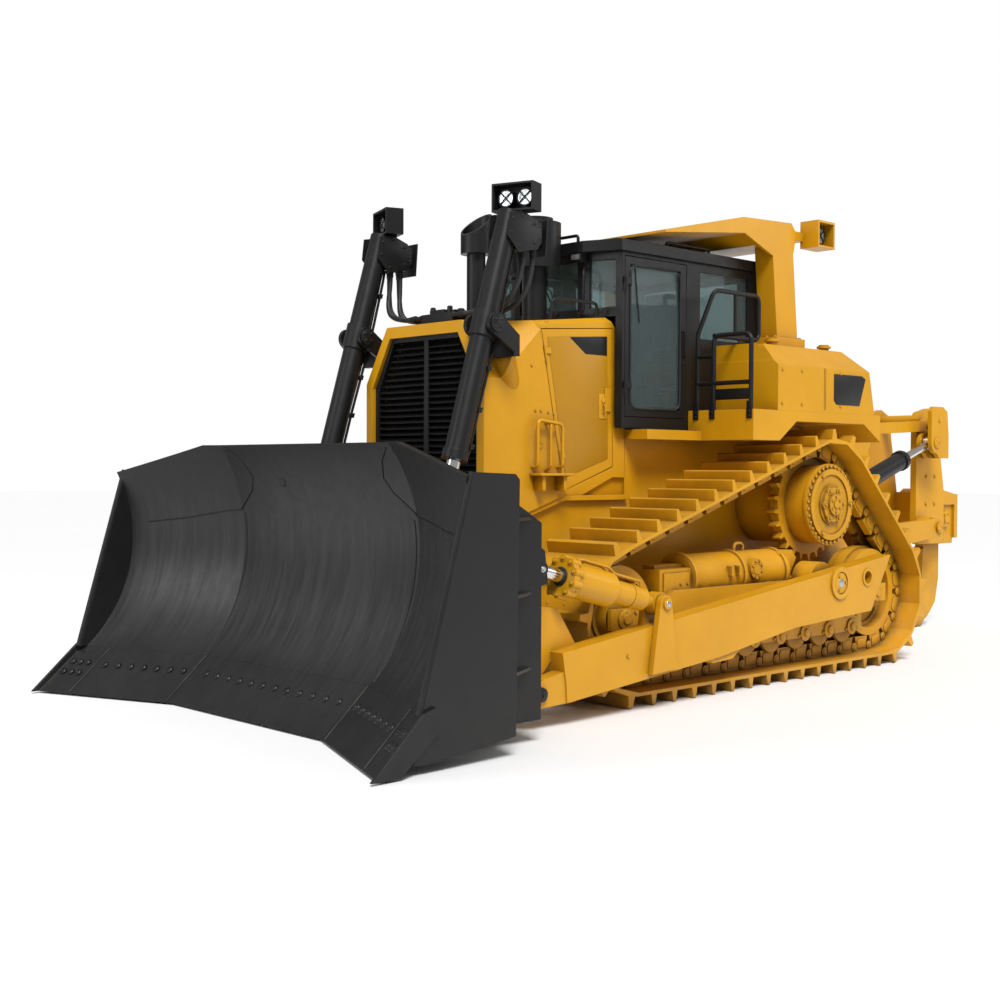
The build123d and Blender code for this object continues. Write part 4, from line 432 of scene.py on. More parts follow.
class Shape:
    """Mesh under construction: plates, turned pieces, pipes and bolts, each in one of its materials."""

    def __init__(self, *materials):
        self.bm = bmesh.new()
        self.materials = materials

    def prism(self, points, depth, slot=0, bevel=0.0):
        """Flat outline carried along a vector, with bevelled edges."""
        low = [self.bm.verts.new(point) for point in points]
        high = [self.bm.verts.new(Vector(point) + Vector(depth)) for point in points]
        faces = [self.bm.faces.new(low), self.bm.faces.new(list(reversed(high)))]
        for index in range(len(points)):
            after = (index + 1) % len(points)
            faces.append(self.bm.faces.new((low[after], low[index], high[index], high[after])))
        for face in faces:
            face.material_index = slot
        if bevel:
            edges = list({edge for face in faces for edge in face.edges})
            bmesh.ops.bevel(self.bm, geom=edges, offset=bevel, segments=2, profile=0.6, affect="EDGES",
                            clamp_overlap=True, material=slot)

    def plate(self, outline, y0, y1, slot, bevel):
        """Outline in XZ between two distances to the side."""
        self.prism(at_y(outline, y0), (0, y1 - y0, 0), slot, bevel)

    def block(self, ends, middle, reach, heights, slot=0, bevel=0.004):
        """Box between two distances forward and two heights, reaching equally to both sides."""
        (x0, x1), (y0, y1), (z0, z1) = ends, (middle - reach, middle + reach), heights
        self.prism([(x0, y0, z0), (x1, y0, z0), (x1, y1, z0), (x0, y1, z0)], (0, 0, z1 - z0), slot, bevel)

    def sheet(self, first, last, middle, reach, depth, slot, bevel):
        """Rectangle between two edges that lie across the machine, in XZ, carried along a vector."""
        corners = at_y((first, last), middle - reach) + at_y((last, first), middle + reach)
        self.prism(corners, depth, slot, bevel)

    def wrap(self, rings, slot):
        """Faces from ring to ring and over the two ends; a ring of one point is a tip."""
        for low, high in zip(rings, rings[1:]):
            for k in range(max(len(low), len(high))):
                steps = ((low, k), (low, k + 1), (high, k + 1), (high, k))
                corners = dict.fromkeys(ring[at % len(ring)] for ring, at in steps)
                self.bm.faces.new(list(corners)).material_index = slot
        for ring in (rings[0], rings[-1]):
            if len(ring) > 1:
                self.bm.faces.new(ring).material_index = slot

    def turned(self, place, axis, profile, sides=24, slot=0, spin=0.0):
        """Profile of (distance along the axis, radius) turned about the axis."""
        matrix = around(place, axis)
        rings = []
        for rise, radius in profile:
            flat = circle(radius, sides, spin) if radius else [(0, 0)]
            rings.append([self.bm.verts.new(matrix @ Vector((x, y, rise))) for x, y in flat])
        self.wrap(rings, slot)

    def cap(self, place, axis, radii, heights, sides=28, slot=0):
        """Disc that is straight up to the first height, then slopes in to the top."""
        (radius, top), (rim, rise) = radii, heights
        self.turned(place, axis, [(0, radius), (rim, radius), (rise, top), (rise, 0)], sides, slot)

    def pipe(self, path, radius, sides=10, slot=0):
        """Round bar along a smooth list of points."""
        path = [Vector(point) for point in path]
        last = len(path) - 1
        ahead = (path[1] - path[0]).normalized()
        side = ahead.orthogonal().normalized()
        rings = []
        for index, point in enumerate(path):
            now = (path[min(index + 1, last)] - path[max(index - 1, 0)]).normalized()
            side = (ahead.rotation_difference(now) @ side).normalized()
            ahead = now
            up = ahead.cross(side)
            rings.append([self.bm.verts.new(point + side * x + up * y) for x, y in circle(radius, sides)])
        self.wrap(rings, slot)

    def rail(self, points, bend, radius, sides=10, slot=0):
        """Round bar bent at each point."""
        self.pipe(rounded(points, bend), radius, sides, slot)

    def bolt(self, place, axis, radius, slot=0, spin=0.0):
        """Washer with a hexagon head on it."""
        washer = radius * 1.35
        self.turned(place, axis, [(0, washer), (radius * 0.22, washer), (radius * 0.25, radius)], 12, slot)
        head = [(radius * 0.2, radius), (radius * 0.85, radius), (radius, radius * 0.8), (radius, 0)]
        self.turned(place, axis, head, 6, slot, spin)

    def bolts(self, places, axis, radius, slot=0):
        for place in places:
            self.bolt(place, axis, radius, slot)

    def bolt_ring(self, place, axis, ring, count, radius, first=0.5):
        """Bolts round a centre, the first of them at a share of a step."""
        matrix = around(place, axis)
        for index, (x, y) in enumerate(circle(ring, count, 2 * math.pi * first / count)):
            self.bolt(matrix @ Vector((x, y, 0)), axis, radius, 0, 2 * math.pi * (index + first) / count)

    def lids(self, outline, places, y, reach, thick, bevel, radius):
        """Bolted plate on each side of a box."""
        for way in (1, -1):
            face = y + way * (reach + thick)
            self.plate(outline, y + way * reach, face, 0, bevel)
            self.bolts(at_y(places, face), (0, way, 0), radius)

    def lamp(self, place, axis, radius, deep):
        """Round lamp with a cross over its glass. Slots: housing, reflector, lens."""
        axis = Vector(axis).normalized()
        housing = [(0, radius * 0.55), (deep * 0.25, radius * 0.8), (deep * 0.5, radius), (deep, radius),
                   (deep, radius * 0.9), (deep * 0.9, radius * 0.88)]
        bowl = [(0, 0), (deep * 0.05, radius * 0.35), (deep * 0.3, radius * 0.72),
                (deep * 0.6, radius * 0.88)]
        glass = [(0, radius * 0.87), (deep * 0.06, radius * 0.6), (deep * 0.09, 0)]
        for slot, (profile, share) in enumerate(((housing, 0), (bowl, 0.3), (glass, 0.92))):
            self.turned(place + axis * deep * share, axis, profile, 28, slot)
        middle = place + axis * deep
        side = axis.orthogonal().normalized()
        for way in (side, axis.cross(side)):
            reach = way * radius * 0.93
            self.pipe([middle - reach, middle + axis * 0.006, middle + reach], radius * 0.07, 6)

    def made(self, name, body=None):
        """Object from the mesh, riding a body when one is named."""
        bmesh.ops.recalc_face_normals(self.bm, faces=self.bm.faces)
        for face in self.bm.faces:
            face.smooth = True
        for edge in self.bm.edges:
            edge.smooth = len(edge.link_faces) == 2 and edge.calc_face_angle(0.0) < SMOOTH_UP_TO
        mesh = bpy.data.meshes.new(name)
        self.bm.to_mesh(mesh)
        self.bm.free()
        for finish in self.materials:
            mesh.materials.append(material(finish))
        item = bpy.data.objects.new(name, mesh)
        bpy.context.scene.collection.objects.link(item)
        if body:
            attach(item, body)
        return item


# ---------------------------------------------------------------- places on the machine, metres
WHEELS = ((1.965, 0.645, 0.471), (-0.623, 1.467, 0.4825), (-1.505, 0.645, 0.471))     # x, z and chain radius
SHOES = 43
TRACK_Y = 1.125
RAIL_FACE = 0.122       # outer face of the chain's rails, from the track's middle
PLATE_RISE = 0.089      # from the pin line out to the shoe plates
LIFT_AXIS = ((2.885, 2.815), (3.532, 0.600))        # lift cylinder's cross axis and rod eye, in XZ
LIFT_Y = 0.760
TILT_AXIS = ((1.933, 0.784), (3.220, 1.100))        # tilt cylinder's foot and rod eye, in XZ
TILT_Y = 1.600
KNEE = (4.461, 0.930)       # where the blade's centre meets its wing, at the edge
WING = math.radians(22)
CURVE = (4.951, 1.213, 1.205)       # moldboard's middle and radius, in XZ
EDGE_TOP, EDGE_TIP = Vector((4.120, 0.340)), Vector((4.461, 0.015))     # cutting edge's slope, in XZ
EDGE_NORMAL = Vector((0.69, 0.724))
HOSE_GAPS = (-0.078, -0.026, 0.026, 0.078)      # four hoses side by side, from the middle of the manifold
MANIFOLD_X, HOSE_Z = 2.600, 2.945


def chain_line():
    """Runs and arcs of the chain round the wheels: a list of (kind, length, what places it)."""
    leaving = []
    for (x, z, r), (nx, nz, nr) in zip(WHEELS, WHEELS[1:] + WHEELS[:1]):
        slope = math.atan2(nz - z, nx - x)
        leaving.append(slope - math.pi / 2 + math.asin((r - nr) / math.hypot(nx - x, nz - z)))
    parts = []
    for index, (x, z, r) in enumerate(WHEELS):
        start, end = leaving[index - 1], leaving[index]
        turn = (end - start) % (2 * math.pi)
        parts.append(("arc", r * turn, (x, z, r, start)))
        nx, nz, nr = WHEELS[(index + 1) % len(WHEELS)]
        out = (math.cos(end), math.sin(end))
        first, last = (x + r * out[0], z + r * out[1]), (nx + nr * out[0], nz + nr * out[1])
        parts.append(("run", math.dist(first, last), (first, last, out)))
    return parts


CHAIN = chain_line()
CHAIN_LENGTH = sum(part[1] for part in CHAIN)
SHOE_PITCH = CHAIN_LENGTH / SHOES


def chain_place(distance, out):
    """Point in XZ at a distance along the chain, moved outward."""
    distance %= CHAIN_LENGTH
    for kind, size, data in CHAIN:
        if distance <= size:
            break
        distance -= size
    if kind == "arc":
        x, z, r, start = data
        angle = start + distance / r
        return x + (r + out) * math.cos(angle), z + (r + out) * math.sin(angle)
    (x0, z0), (x1, z1), (nx, nz) = data
    share = distance / size
    return x0 + share * (x1 - x0) + out * nx, z0 + share * (z1 - z0) + out * nz


def on_line(ends, y, distance, up=0.0, across=0.0):
    """Point at a distance along a cylinder's line, moved up from it or across, and the line's direction."""
    (x0, z0), (x1, z1) = ends
    size = math.dist(*ends)
    dx, dz = (x1 - x0) / size, (z1 - z0) / size
    place = Vector((x0 + dx * distance - dz * up, y + across, z0 + dz * distance + dx * up))
    return place, Vector((dx, 0, dz))


def on_blade(x, run, z):
    """Point of the blade from its straight section: past the knees it is turned forward with the wing."""
    side = math.copysign(1, run)
    knee = KNEE[1] - (x - KNEE[0]) * math.tan(WING / 2)
    past = abs(run) - knee
    if past <= 0:
        return Vector((x, run, z))
    nx, ny = math.sin(WING / 2), math.cos(WING / 2)
    y = knee - past
    reach = (x - KNEE[0]) * nx + (y - KNEE[1]) * ny
    return Vector((x - 2 * reach * nx, side * (y - 2 * reach * ny), z))


def on_face(run, z):
    """Point of the moldboard's face, and the face's normal."""
    x, mid, radius = CURVE
    reach = math.sqrt(radius ** 2 - (z - mid) ** 2)
    normal = Vector((reach, 0, mid - z)) / radius
    place = on_blade(x - reach, run, z)
    step = 0.01
    ahead = on_blade(x - reach + normal.x * step, run, z + normal.z * step)
    return place, (ahead - place).normalized()


# ---------------------------------------------------------------- pieces
PIN_END = ((0, 0.040), (0.009, 0.040), (0.012, 0.036), (0.012, 0.024), (0.017, 0.022), (0.017, 0))
STRAP = ((0.050, -0.030), (0.075, -0.052), (0.170, -0.052), (0.190, -0.030), (0.190, 0.035), (0.050, 0.035))


class DOZER_OT_track_hardware(bpy.types.Operator):
    """Add the shoe bolts, the link straps and the pin ends of both chains"""
    bl_idname = "dozer.track_hardware"
    bl_label = "Track hardware"

    def execute(self, context):
        for side, name in SIDES:
            chain = Shape("cast_yellow")
            for index in range(SHOES):
                first, last = [Vector(chain_place(k * SHOE_PITCH, PLATE_RISE)) for k in (index, index + 1)]
                run = (last - first).normalized()
                for share in (0.56, 0.85):
                    at = first.lerp(last, share)
                    for y in (-0.087, 0.087):
                        chain.bolt((at.x, side * TRACK_Y + y, at.y), (run.y, 0, -run.x), 0.016, spin=0.3)
                pin = (index + 0.62) * SHOE_PITCH
                x, z = chain_place(pin, 0.020)
                strap = [chain_place(pin + ahead, out) for ahead, out in STRAP]
                for way in (1, -1):
                    face = side * TRACK_Y + way * RAIL_FACE
                    chain.turned((x, face, z), (0, way, 0), PIN_END, 14)
                    chain.prism(at_y(strap, face), (0, way * 0.007, 0), 0, 0.002)
            chain.made("track_hardware_" + name, "tractor")
        return {"FINISHED"}


EDGE_BOLT = ((0, 0.03125), (0.004, 0.03125), (0.011, 0.025), (0.011, 0.01375), (0.003, 0.0125))
EDGE_BOLT_HOLE = ((0.002, 0.013), (0.0035, 0.013), (0.0035, 0))
FACE_SEAM = ((1.99, 1.33), (1.6, 1.37), (1.22, 1.43), (1.08, 1.44), (0.86, 1.60), (0.80, 1.70), (0.86, 1.82),
             (1.0, 1.925))


class DOZER_OT_blade_hardware(bpy.types.Operator):
    """Add the edge bolts, the seams, the plugged lifting hole and the side bars of the blade"""
    bl_idname = "dozer.blade_hardware"
    bl_label = "Blade hardware"

    def execute(self, context):
        blade = Shape("charcoal_paint", "rubber_black")
        bolts = [(-0.825 + index * 0.15, 0.36) for index in range(12)]
        for side, _ in SIDES:
            bolts += [(side * (1.09 + index * 0.125), 0.36) for index in range(7)]
            bolts += [(side * (2.02 + index * 0.075), share) for index in range(3) for share in (0.34, 0.56)]
            for run in (1.00, 1.93):
                slope = [EDGE_TOP.lerp(EDGE_TIP, share) for share in (0.02, 0.25, 0.5, 0.75, 0.97)]
                blade.pipe([on_blade(p.x + 0.002, side * run, p.y + 0.002) for p in slope], 0.0035, 6, 1)
            seam = []
            for (a, b), (c, d) in zip(FACE_SEAM, FACE_SEAM[1:]):
                seam += [(a + (c - a) * k / 5, b + (d - b) * k / 5) for k in range(5)]
            blade.pipe([on_face(side * run, z)[0] for run, z in seam], 0.006, 6)
            knee = [on_face(side * (KNEE[1] + 0.099), 0.36 + 1.06 * k / 24)[0] for k in range(25)]
            blade.pipe(knee, 0.0045, 6)
            foot, top = mirrored(((4.623, 2.1075, 0.345), (4.22, 2.1075, 1.744)), side)
            blade.pipe([Vector(foot).lerp(Vector(top), k / 8) for k in range(9)], 0.0215, 10)
        for run, share in bolts:
            at = EDGE_TOP.lerp(EDGE_TIP, share)
            out = at + EDGE_NORMAL * 0.01
            place = on_blade(at.x, run, at.y)
            normal = on_blade(out.x, run, out.y) - place
            blade.turned(place, normal, EDGE_BOLT, 14)
            blade.turned(place, normal, EDGE_BOLT_HOLE, 14, 1)
        place, normal = on_face(-0.42, 1.66)
        blade.turned(place - normal * 0.004, normal, [(0, 0.036), (0.007, 0.036), (0.008, 0.027)], 18, 0)
        blade.turned(place + normal * 0.003, normal, [(0, 0.027), (0.002, 0.027), (0.002, 0)], 18, 1)
        blade.made("blade_hardware", "blade")
        return {"FINISHED"}


class DOZER_OT_blade_lamps(bpy.types.Operator):
    """Add the twin lamps in each box on the lift cylinders"""
    bl_idname = "dozer.blade_lamps"
    bl_label = "Blade lamps"

    def execute(self, context):
        lamps = Shape("charcoal_paint", "reflector", "lens")
        for side, _ in SIDES:
            turn = Matrix.Rotation(side * math.radians(20), 4, "Z")
            box = Matrix.Translation((2.565, side * LIFT_Y, 3.775)) @ turn
            for across in (-0.078, 0.078):
                lamps.lamp(box @ Vector((-0.050, across, 0)), turn @ Vector((1, 0, 0)), 0.066, 0.075)
            for up in (-1, 1):
                lids = [box @ Vector((-0.02, across, up * 0.1052)) for across in (-0.13, 0.0, 0.13)]
                lamps.bolts(lids, (0, 0, up), 0.007)
        lamps.made("blade_lamps", "lift_barrel_body")
        return {"FINISHED"}


class DOZER_OT_work_lamps(bpy.types.Operator):
    """Add the lamps on the roll-over frame and under the front of the cab roof"""
    bl_idname = "dozer.work_lamps"
    bl_label = "Work lamps"

    def execute(self, context):
        lamps = Shape("charcoal_paint", "reflector", "lens")
        low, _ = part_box("rops")
        roof_y, roof_z = 0.40, 3.487
        for side, _ in SIDES:
            lamps.lamp(Vector((low.x + 0.130, side * 1.004, 3.870)), (0, side, 0), 0.078, 0.080)
            lamps.block((1.5445, 1.552), side * roof_y, 0.052, (roof_z - 0.028, roof_z + 0.028), 0, 0.003)
            lamps.block((1.551, 1.556), side * roof_y, 0.044, (roof_z - 0.021, roof_z + 0.021), 2, 0.002)
        lamps.made("work_lamps", "tractor")
        return {"FINISHED"}


HOSE_END = ((-0.01, 0.012), (0, 0.028), (0.02, 0.028), (0.022, 0.024), (0.060, 0.024), (0.064, 0.018))


class DOZER_OT_hoses(bpy.types.Operator):
    """Add the hoses from the lift cylinders' valve boxes to the manifold"""
    bl_idname = "dozer.hoses"
    bl_label = "Lift hoses"

    def execute(self, context):
        for side, name in SIDES:
            shape = Shape("rubber_black", "charcoal_paint")
            for index, gap in enumerate(HOSE_GAPS):
                start = (2.425 + 0.050 * index, side * (LIFT_Y + (0.035, -0.045)[index % 2]), 3.392)
                end = (MANIFOLD_X + gap, side * 0.262, HOSE_Z)
                leave = (0.0, -side * 0.02, -0.40 + 0.04 * index)
                path = drooped(start, leave, end, (0.0, side * (0.42 + 0.03 * index), 0.0))
                shape.pipe(path, context.scene.dozer_sizes.hose_radius, 10)
                for place, inner in ((path[0], path[1]), (path[-1], path[-2])):
                    shape.turned(place, inner - place, HOSE_END, 12, 1)
            hose = shape.made("lift_hoses_" + name)
            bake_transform(hose)
        return {"FINISHED"}


LIFT_PIPE = ((-0.62, -0.10), (-0.50, -0.108), (-0.14, -0.118), (0.14, -0.118), (0.60, -0.104), (0.96, -0.104),
             (0.985, -0.085))
VALVE_LID = ((2.44, 3.610), (2.60, 3.665), (2.735, 3.640), (2.755, 3.47), (2.64, 3.355), (2.44, 3.40))
VALVE_BOLTS = ((2.475, 3.58), (2.60, 3.63), (2.70, 3.60), (2.715, 3.50), (2.63, 3.40), (2.475, 3.44))
REAR_LID = ((2.402, 3.585), (2.520, 3.585), (2.520, 3.42), (2.460, 3.405), (2.402, 3.46))
REAR_BOLTS = ((2.415, 3.57), (2.507, 3.57), (2.507, 3.43), (2.415, 3.475))


class DOZER_OT_lift_lines(bpy.types.Operator):
    """Add the valve boxes' lids and the pipes and their pads down each lift cylinder"""
    bl_idname = "dozer.lift_lines"
    bl_label = "Lift cylinder pipes"

    def execute(self, context):
        lines = Shape("charcoal_paint")
        for side, _ in SIDES:
            y = side * LIFT_Y
            for across in (side * 0.020, -side * 0.022):
                path = [on_line(LIFT_AXIS, y, distance, up, across)[0] for distance, up in LIFT_PIPE]
                lines.rail(path, 0.04, 0.011, 8)
            for distance in (-0.40, 0.30, 0.62, 0.90):
                pad, ahead = on_line(LIFT_AXIS, y, distance, -0.104)
                near, far = [(pad.x + along, pad.z - 0.02) for along in (-0.018, 0.018)]
                lines.sheet(near, far, y, 0.040, ahead * -0.04, 0, 0.003)
            lines.lids(VALVE_LID, VALVE_BOLTS, y, 0.100, 0.007, 0.003, 0.009)
            lines.block((2.345, 2.396), y, 0.060, (3.46, 3.58), 0, 0.008)
            lines.sheet((2.345, 3.36), (2.325, 3.63), y, 0.085, (-0.012, 0, 0), 0, 0.004)
            lines.block((2.46, 2.70), y, 0.105, (3.600, 3.609), 0, 0.003)
            lines.sheet((2.60, 3.608), (2.585, 3.672), y, 0.075, (0.012, 0, 0), 0, 0.003)
            lines.lids(REAR_LID, REAR_BOLTS, y, 0.095, 0.006, 0.002, 0.007)
        lines.made("lift_lines", "lift_barrel_body")
        return {"FINISHED"}


class DOZER_OT_manifold(bpy.types.Operator):
    """Add the hose manifold on top of the guard and the caps on the lift cylinders' cross axis"""
    bl_idname = "dozer.manifold"
    bl_label = "Hose manifold"

    def execute(self, context):
        shape = Shape("charcoal_paint")
        shape.block((2.500, 2.700), 0, 0.215, (2.878, 2.896), 0, 0.004)
        shape.block((2.505, 2.695), 0, 0.190, (2.894, 2.972), 0, 0.012)
        shape.block((2.540, 2.660), -0.035, 0.085, (2.970, 3.005), 0, 0.008)
        for side, _ in SIDES:
            stub = [(0, 0.024), (0.020, 0.024), (0.022, 0.019), (0.080, 0.019)]
            for gap in HOSE_GAPS:
                shape.turned((MANIFOLD_X + gap, side * 0.185, HOSE_Z), (0, side, 0), stub, 12)
            shape.cap((2.56, side * 0.14, 2.970), UP, (0.03, 0.022), (0.03, 0.04), 16)
            shape.cap((2.64, side * 0.10, 2.970), UP, (0.022, 0.014), (0.05, 0.058), 16)
            shape.bolts([(x, side * 0.200, 2.896) for x in (2.512, 2.688)], UP, 0.009)
            for way, face in ((1, 0.9005), (-1, 0.6195)):
                x, z = LIFT_AXIS[0]
                axis = (0, side * way, 0)
                shape.cap((x, side * face, z), axis, (0.066, 0.056), (0.012, 0.018))
                shape.bolt_ring((x, side * (face + way * 0.018), z), axis, 0.040, 4, 0.009)
        shape.rail([(2.53, -0.10, 2.935), (2.47, -0.10, 2.935), (2.40, -0.02, 2.905), (2.36, 0.10, 2.905)],
                   0.05, 0.014, 8)
        shape.made("manifold", "tractor")
        return {"FINISHED"}


class DOZER_OT_radiator_core(bpy.types.Operator):
    """Add the black radiator core behind the louvres, with its fins"""
    bl_idname = "dozer.radiator_core"
    bl_label = "Radiator core"

    def execute(self, context):
        core = Shape("core_black")
        outline = [(-0.612, 1.57), (0.612, 1.57), (0.612, 2.398), (0.398, 2.783), (-0.398, 2.783),
                   (-0.612, 2.398)]
        core.prism([(2.640, y, z) for y, z in outline], (0.040, 0, 0), 0, 0.004)
        for index in range(41):
            y = -0.60 + index * 0.03
            top = 2.39 if abs(y) > 0.4 else 2.77
            core.block((2.679, 2.700), y, 0.003, (1.60, top), 0, 0.0)
        core.made("radiator_core", "tractor")
        return {"FINISHED"}


LEVER_BOOT = ((0, 0.042), (0.012, 0.036), (0.030, 0.016), (0.032, 0))
LEVER = ((0, 0.010), (0.075, 0.010), (0.085, 0.021), (0.125, 0.024), (0.155, 0.019), (0.163, 0))


class DOZER_OT_cab_controls(bpy.types.Operator):
    """Add the consoles, levers, pedals, display and knobs"""
    bl_idname = "dozer.cab_controls"
    bl_label = "Cab controls"

    def execute(self, context):
        shape = Shape("rubber_black", "charcoal_paint", "lens")
        for side, _ in SIDES:
            console, pedal = side * 0.315, side * 0.20
            shape.block((-0.30, 0.36), console, 0.10, (2.16, 2.44), 1, 0.02)
            shape.block((0.40, 0.53), console, 0.055, (2.779, 2.800), 1, 0.006)
            shape.turned((0.475, console, 2.798), UP, LEVER_BOOT, 18)
            shape.turned((0.475, console, 2.815), (0.10, 0, 1), LEVER, 18)
            shape.block((0.90, 1.02), pedal, 0.045, (2.185, 2.200))
            shape.pipe(at_y(((1.02, 2.20), (1.06, 2.34), (1.10, 2.36)), pedal), 0.010, 8, 1)
        shape.sheet((1.150, 2.86), (1.120, 3.00), 0.20, 0.14, (0.022, 0, 0.004), 1, 0.006)
        shape.sheet((1.1475, 2.872), (1.1195, 2.990), 0.20, 0.125, (-0.002, 0, 0), 2, 0.0)
        for index in range(5):
            shape.cap((1.166, -0.10 - index * 0.05, 2.93), (-1, 0, 0), (0.014, 0.010), (0.008, 0.010), 12)
        shape.made("cab_controls", "tractor")
        return {"FINISHED"}


class DOZER_OT_seat_trim(bpy.types.Operator):
    """Add the piping and the head rest of the seat"""
    bl_idname = "dozer.seat_trim"
    bl_label = "Seat trim"

    def execute(self, context):
        trim = Shape("seat_cloth", "rubber_black")
        for y in (-0.13, 0.13):
            trim.pipe(at_y(((-0.052, 2.62), (0.06, 2.604), (0.40, 2.604), (0.55, 2.604)), y), 0.006, 6, 1)
        for y in (-0.16, 0.0, 0.16):
            trim.pipe(at_y(((0.176, 2.64), (0.136, 2.86), (0.079, 3.20)), y), 0.006, 6, 1)
        trim.sheet((0.07, 3.20), (-0.03, 3.20), 0, 0.15, (-0.02, 0, 0.16), 0, 0.03)
        trim.made("seat_trim", "tractor")
        return {"FINISHED"}


class DOZER_OT_wipers(bpy.types.Operator):
    """Add the wiper of the windscreen and the wiper hubs of the corner panes"""
    bl_idname = "dozer.wipers"
    bl_label = "Wipers"

    def execute(self, context):
        wipers = Shape("charcoal_paint", "rubber_black")
        wipers.cap((1.458, 0.10, 3.050), (1, 0, 0), (0.020, 0.014), (0.014, 0.020), 16)
        wipers.pipe([(1.474, 0.10, 3.050), (1.462, 0.03, 3.16), (1.450, -0.04, 3.27)], 0.006, 8)
        wipers.block((1.440, 1.450), -0.042, 0.008, (3.115, 3.430), 1, 0.003)
        for side, _ in SIDES:
            hub = [(0, 0.018), (0.012, 0.018), (0.016, 0)]
            wipers.turned((1.421, side * 0.560, 3.048), (0.69, side * 0.72, 0), hub, 16)
        wipers.made("wipers", "tractor")
        return {"FINISHED"}


DOOR_Y = 0.750
DOOR_SEAL = ((0.960, 2.258), (1.274, 2.261), (1.274, 3.419), (0.646, 3.419), (0.646, 2.261), (0.958, 2.261))
DOOR_HANDLE = ((0.605, DOOR_Y - 0.004, 2.72), (0.605, DOOR_Y + 0.030, 2.72), (0.605, DOOR_Y + 0.030, 2.92),
               (0.605, DOOR_Y - 0.004, 2.92))
DOOR_WIPER = ((1.20, DOOR_Y - 0.016, 3.40), (1.17, DOOR_Y - 0.010, 3.10), (1.15, DOOR_Y - 0.010, 2.96))


class DOZER_OT_cab_door_fittings(bpy.types.Operator):
    """Add the handle, the lock, the window seal and the wiper arm of each cab door"""
    bl_idname = "dozer.cab_door_fittings"
    bl_label = "Cab door fittings"

    def execute(self, context):
        for side, name in SIDES:
            door = Shape("charcoal_paint", "rubber_black")
            door.rail(mirrored(DOOR_HANDLE, side), 0.018, 0.009)
            door.cap((0.605, side * DOOR_Y, 2.66), (0, side, 0), (0.020, 0.014), (0.006, 0.008), 18)
            door.rail(at_y(DOOR_SEAL, side * (DOOR_Y + 0.003)), 0.09, 0.008, 8, 1)
            door.pipe(mirrored(DOOR_WIPER, side), 0.006, 8)
            door.made("cab_door_fittings_" + name, "cab_door_%s_body" % name)
        return {"FINISHED"}


WINDSCREEN_BAR = ((1.462, 0.405, 3.02), (1.530, 0.405, 3.03), (1.560, 0.50, 3.03), (1.560, 0.50, 3.37),
                  (1.480, 0.44, 3.40), (1.455, 0.40, 3.40))
HOOD_RAIL = ((2.02, 0.575, 2.925), (2.02, 0.600, 3.10), (1.50, 0.600, 3.10), (1.50, 0.575, 2.975))


class DOZER_OT_cab_rails(bpy.types.Operator):
    """Add the bars beside the windscreen, the rails on the hood and the bracket at the cab's left rear"""
    bl_idname = "dozer.cab_rails"
    bl_label = "Cab and hood rails"

    def execute(self, context):
        rails = Shape("charcoal_paint")
        for side, _ in SIDES:
            rails.rail(mirrored(WINDSCREEN_BAR, side), 0.05, 0.012)
            rails.rail(mirrored(HOOD_RAIL, side), 0.06, 0.013)
            for x, z in ((2.02, 2.914), (1.50, 2.974)):
                rails.turned((x, side * 0.575, z), UP, [(0, 0.032), (0.012, 0.032), (0.016, 0.020)], 16)
        rails.rail([(-0.38, 0.79, 3.40), (-0.38, 0.84, 3.40), (-0.38, 0.84, 3.30)], 0.02, 0.009, 8)
        rails.made("cab_rails", "tractor")
        return {"FINISHED"}


MESH_SHEET = ((1.922, 1.700), (2.128, 2.785), (1.445, 2.838), (1.432, 1.850))
DOOR_BADGE = ((1.880, 2.800), (1.452, 2.832), (1.452, 2.680), (1.700, 2.680))
LATCH_PLATE = ((1.450, 2.17), (1.545, 2.17), (1.545, 2.37), (1.450, 2.37))
LATCH_GRIP = ((1.495, 0.662, 2.285), (1.495, 0.684, 2.275), (1.495, 0.684, 2.215), (1.495, 0.662, 2.205))


class DOZER_OT_engine_door_fittings(bpy.types.Operator):
    """Add the mesh sheet and the latch of each engine door, and the left one's blank badge plate"""
    bl_idname = "dozer.engine_door_fittings"
    bl_label = "Engine door fittings"

    def execute(self, context):
        for side, name in SIDES:
            door = Shape("plate_black", "machine_yellow", "mesh_yellow")
            door.plate(MESH_SHEET, side * 0.653, side * 0.658, 2, 0.001)
            if name == "left":
                door.plate(DOOR_BADGE, 0.655, 0.662, 0, 0.002)
            door.plate(LATCH_PLATE, side * 0.653, side * 0.664, 1, 0.004)
            door.cap((1.495, side * 0.663, 2.315), (0, side, 0), (0.022, 0.014), (0.006, 0.009), 18, 1)
            door.rail(mirrored(LATCH_GRIP, side), 0.012, 0.007, 8, 1)
            door.made("engine_door_fittings_" + name, "engine_door_%s_body" % name)
        return {"FINISHED"}


TANK_BADGE = ((-0.62, 2.60), (-1.06, 2.60), (-1.115, 2.575), (-1.02, 2.335), (-0.66, 2.335), (-0.62, 2.37))
APRON = ((1.205, 1.552), (1.980, 1.552), (1.985, 1.700), (1.205, 1.960))
STEP_HOOP = ((2.06, 0.69, 1.78), (2.06, 0.76, 1.78), (2.06, 0.76, 2.11), (2.33, 0.76, 2.14),
             (2.33, 0.76, 1.78), (2.33, 0.69, 1.78))
STEP_BAR = ((2.19, 0.69, 2.118), (2.19, 0.76, 2.118), (2.19, 0.76, 1.78), (2.19, 0.69, 1.75))
STEP_PLATE = ((1.99, 1.715), (2.36, 1.715), (2.36, 1.735), (1.99, 1.735))
GUARD_BOLTS = ((2.10, 2.19), (2.16, 2.20), (2.24, 2.21), (2.30, 2.21), (2.34, 2.55))


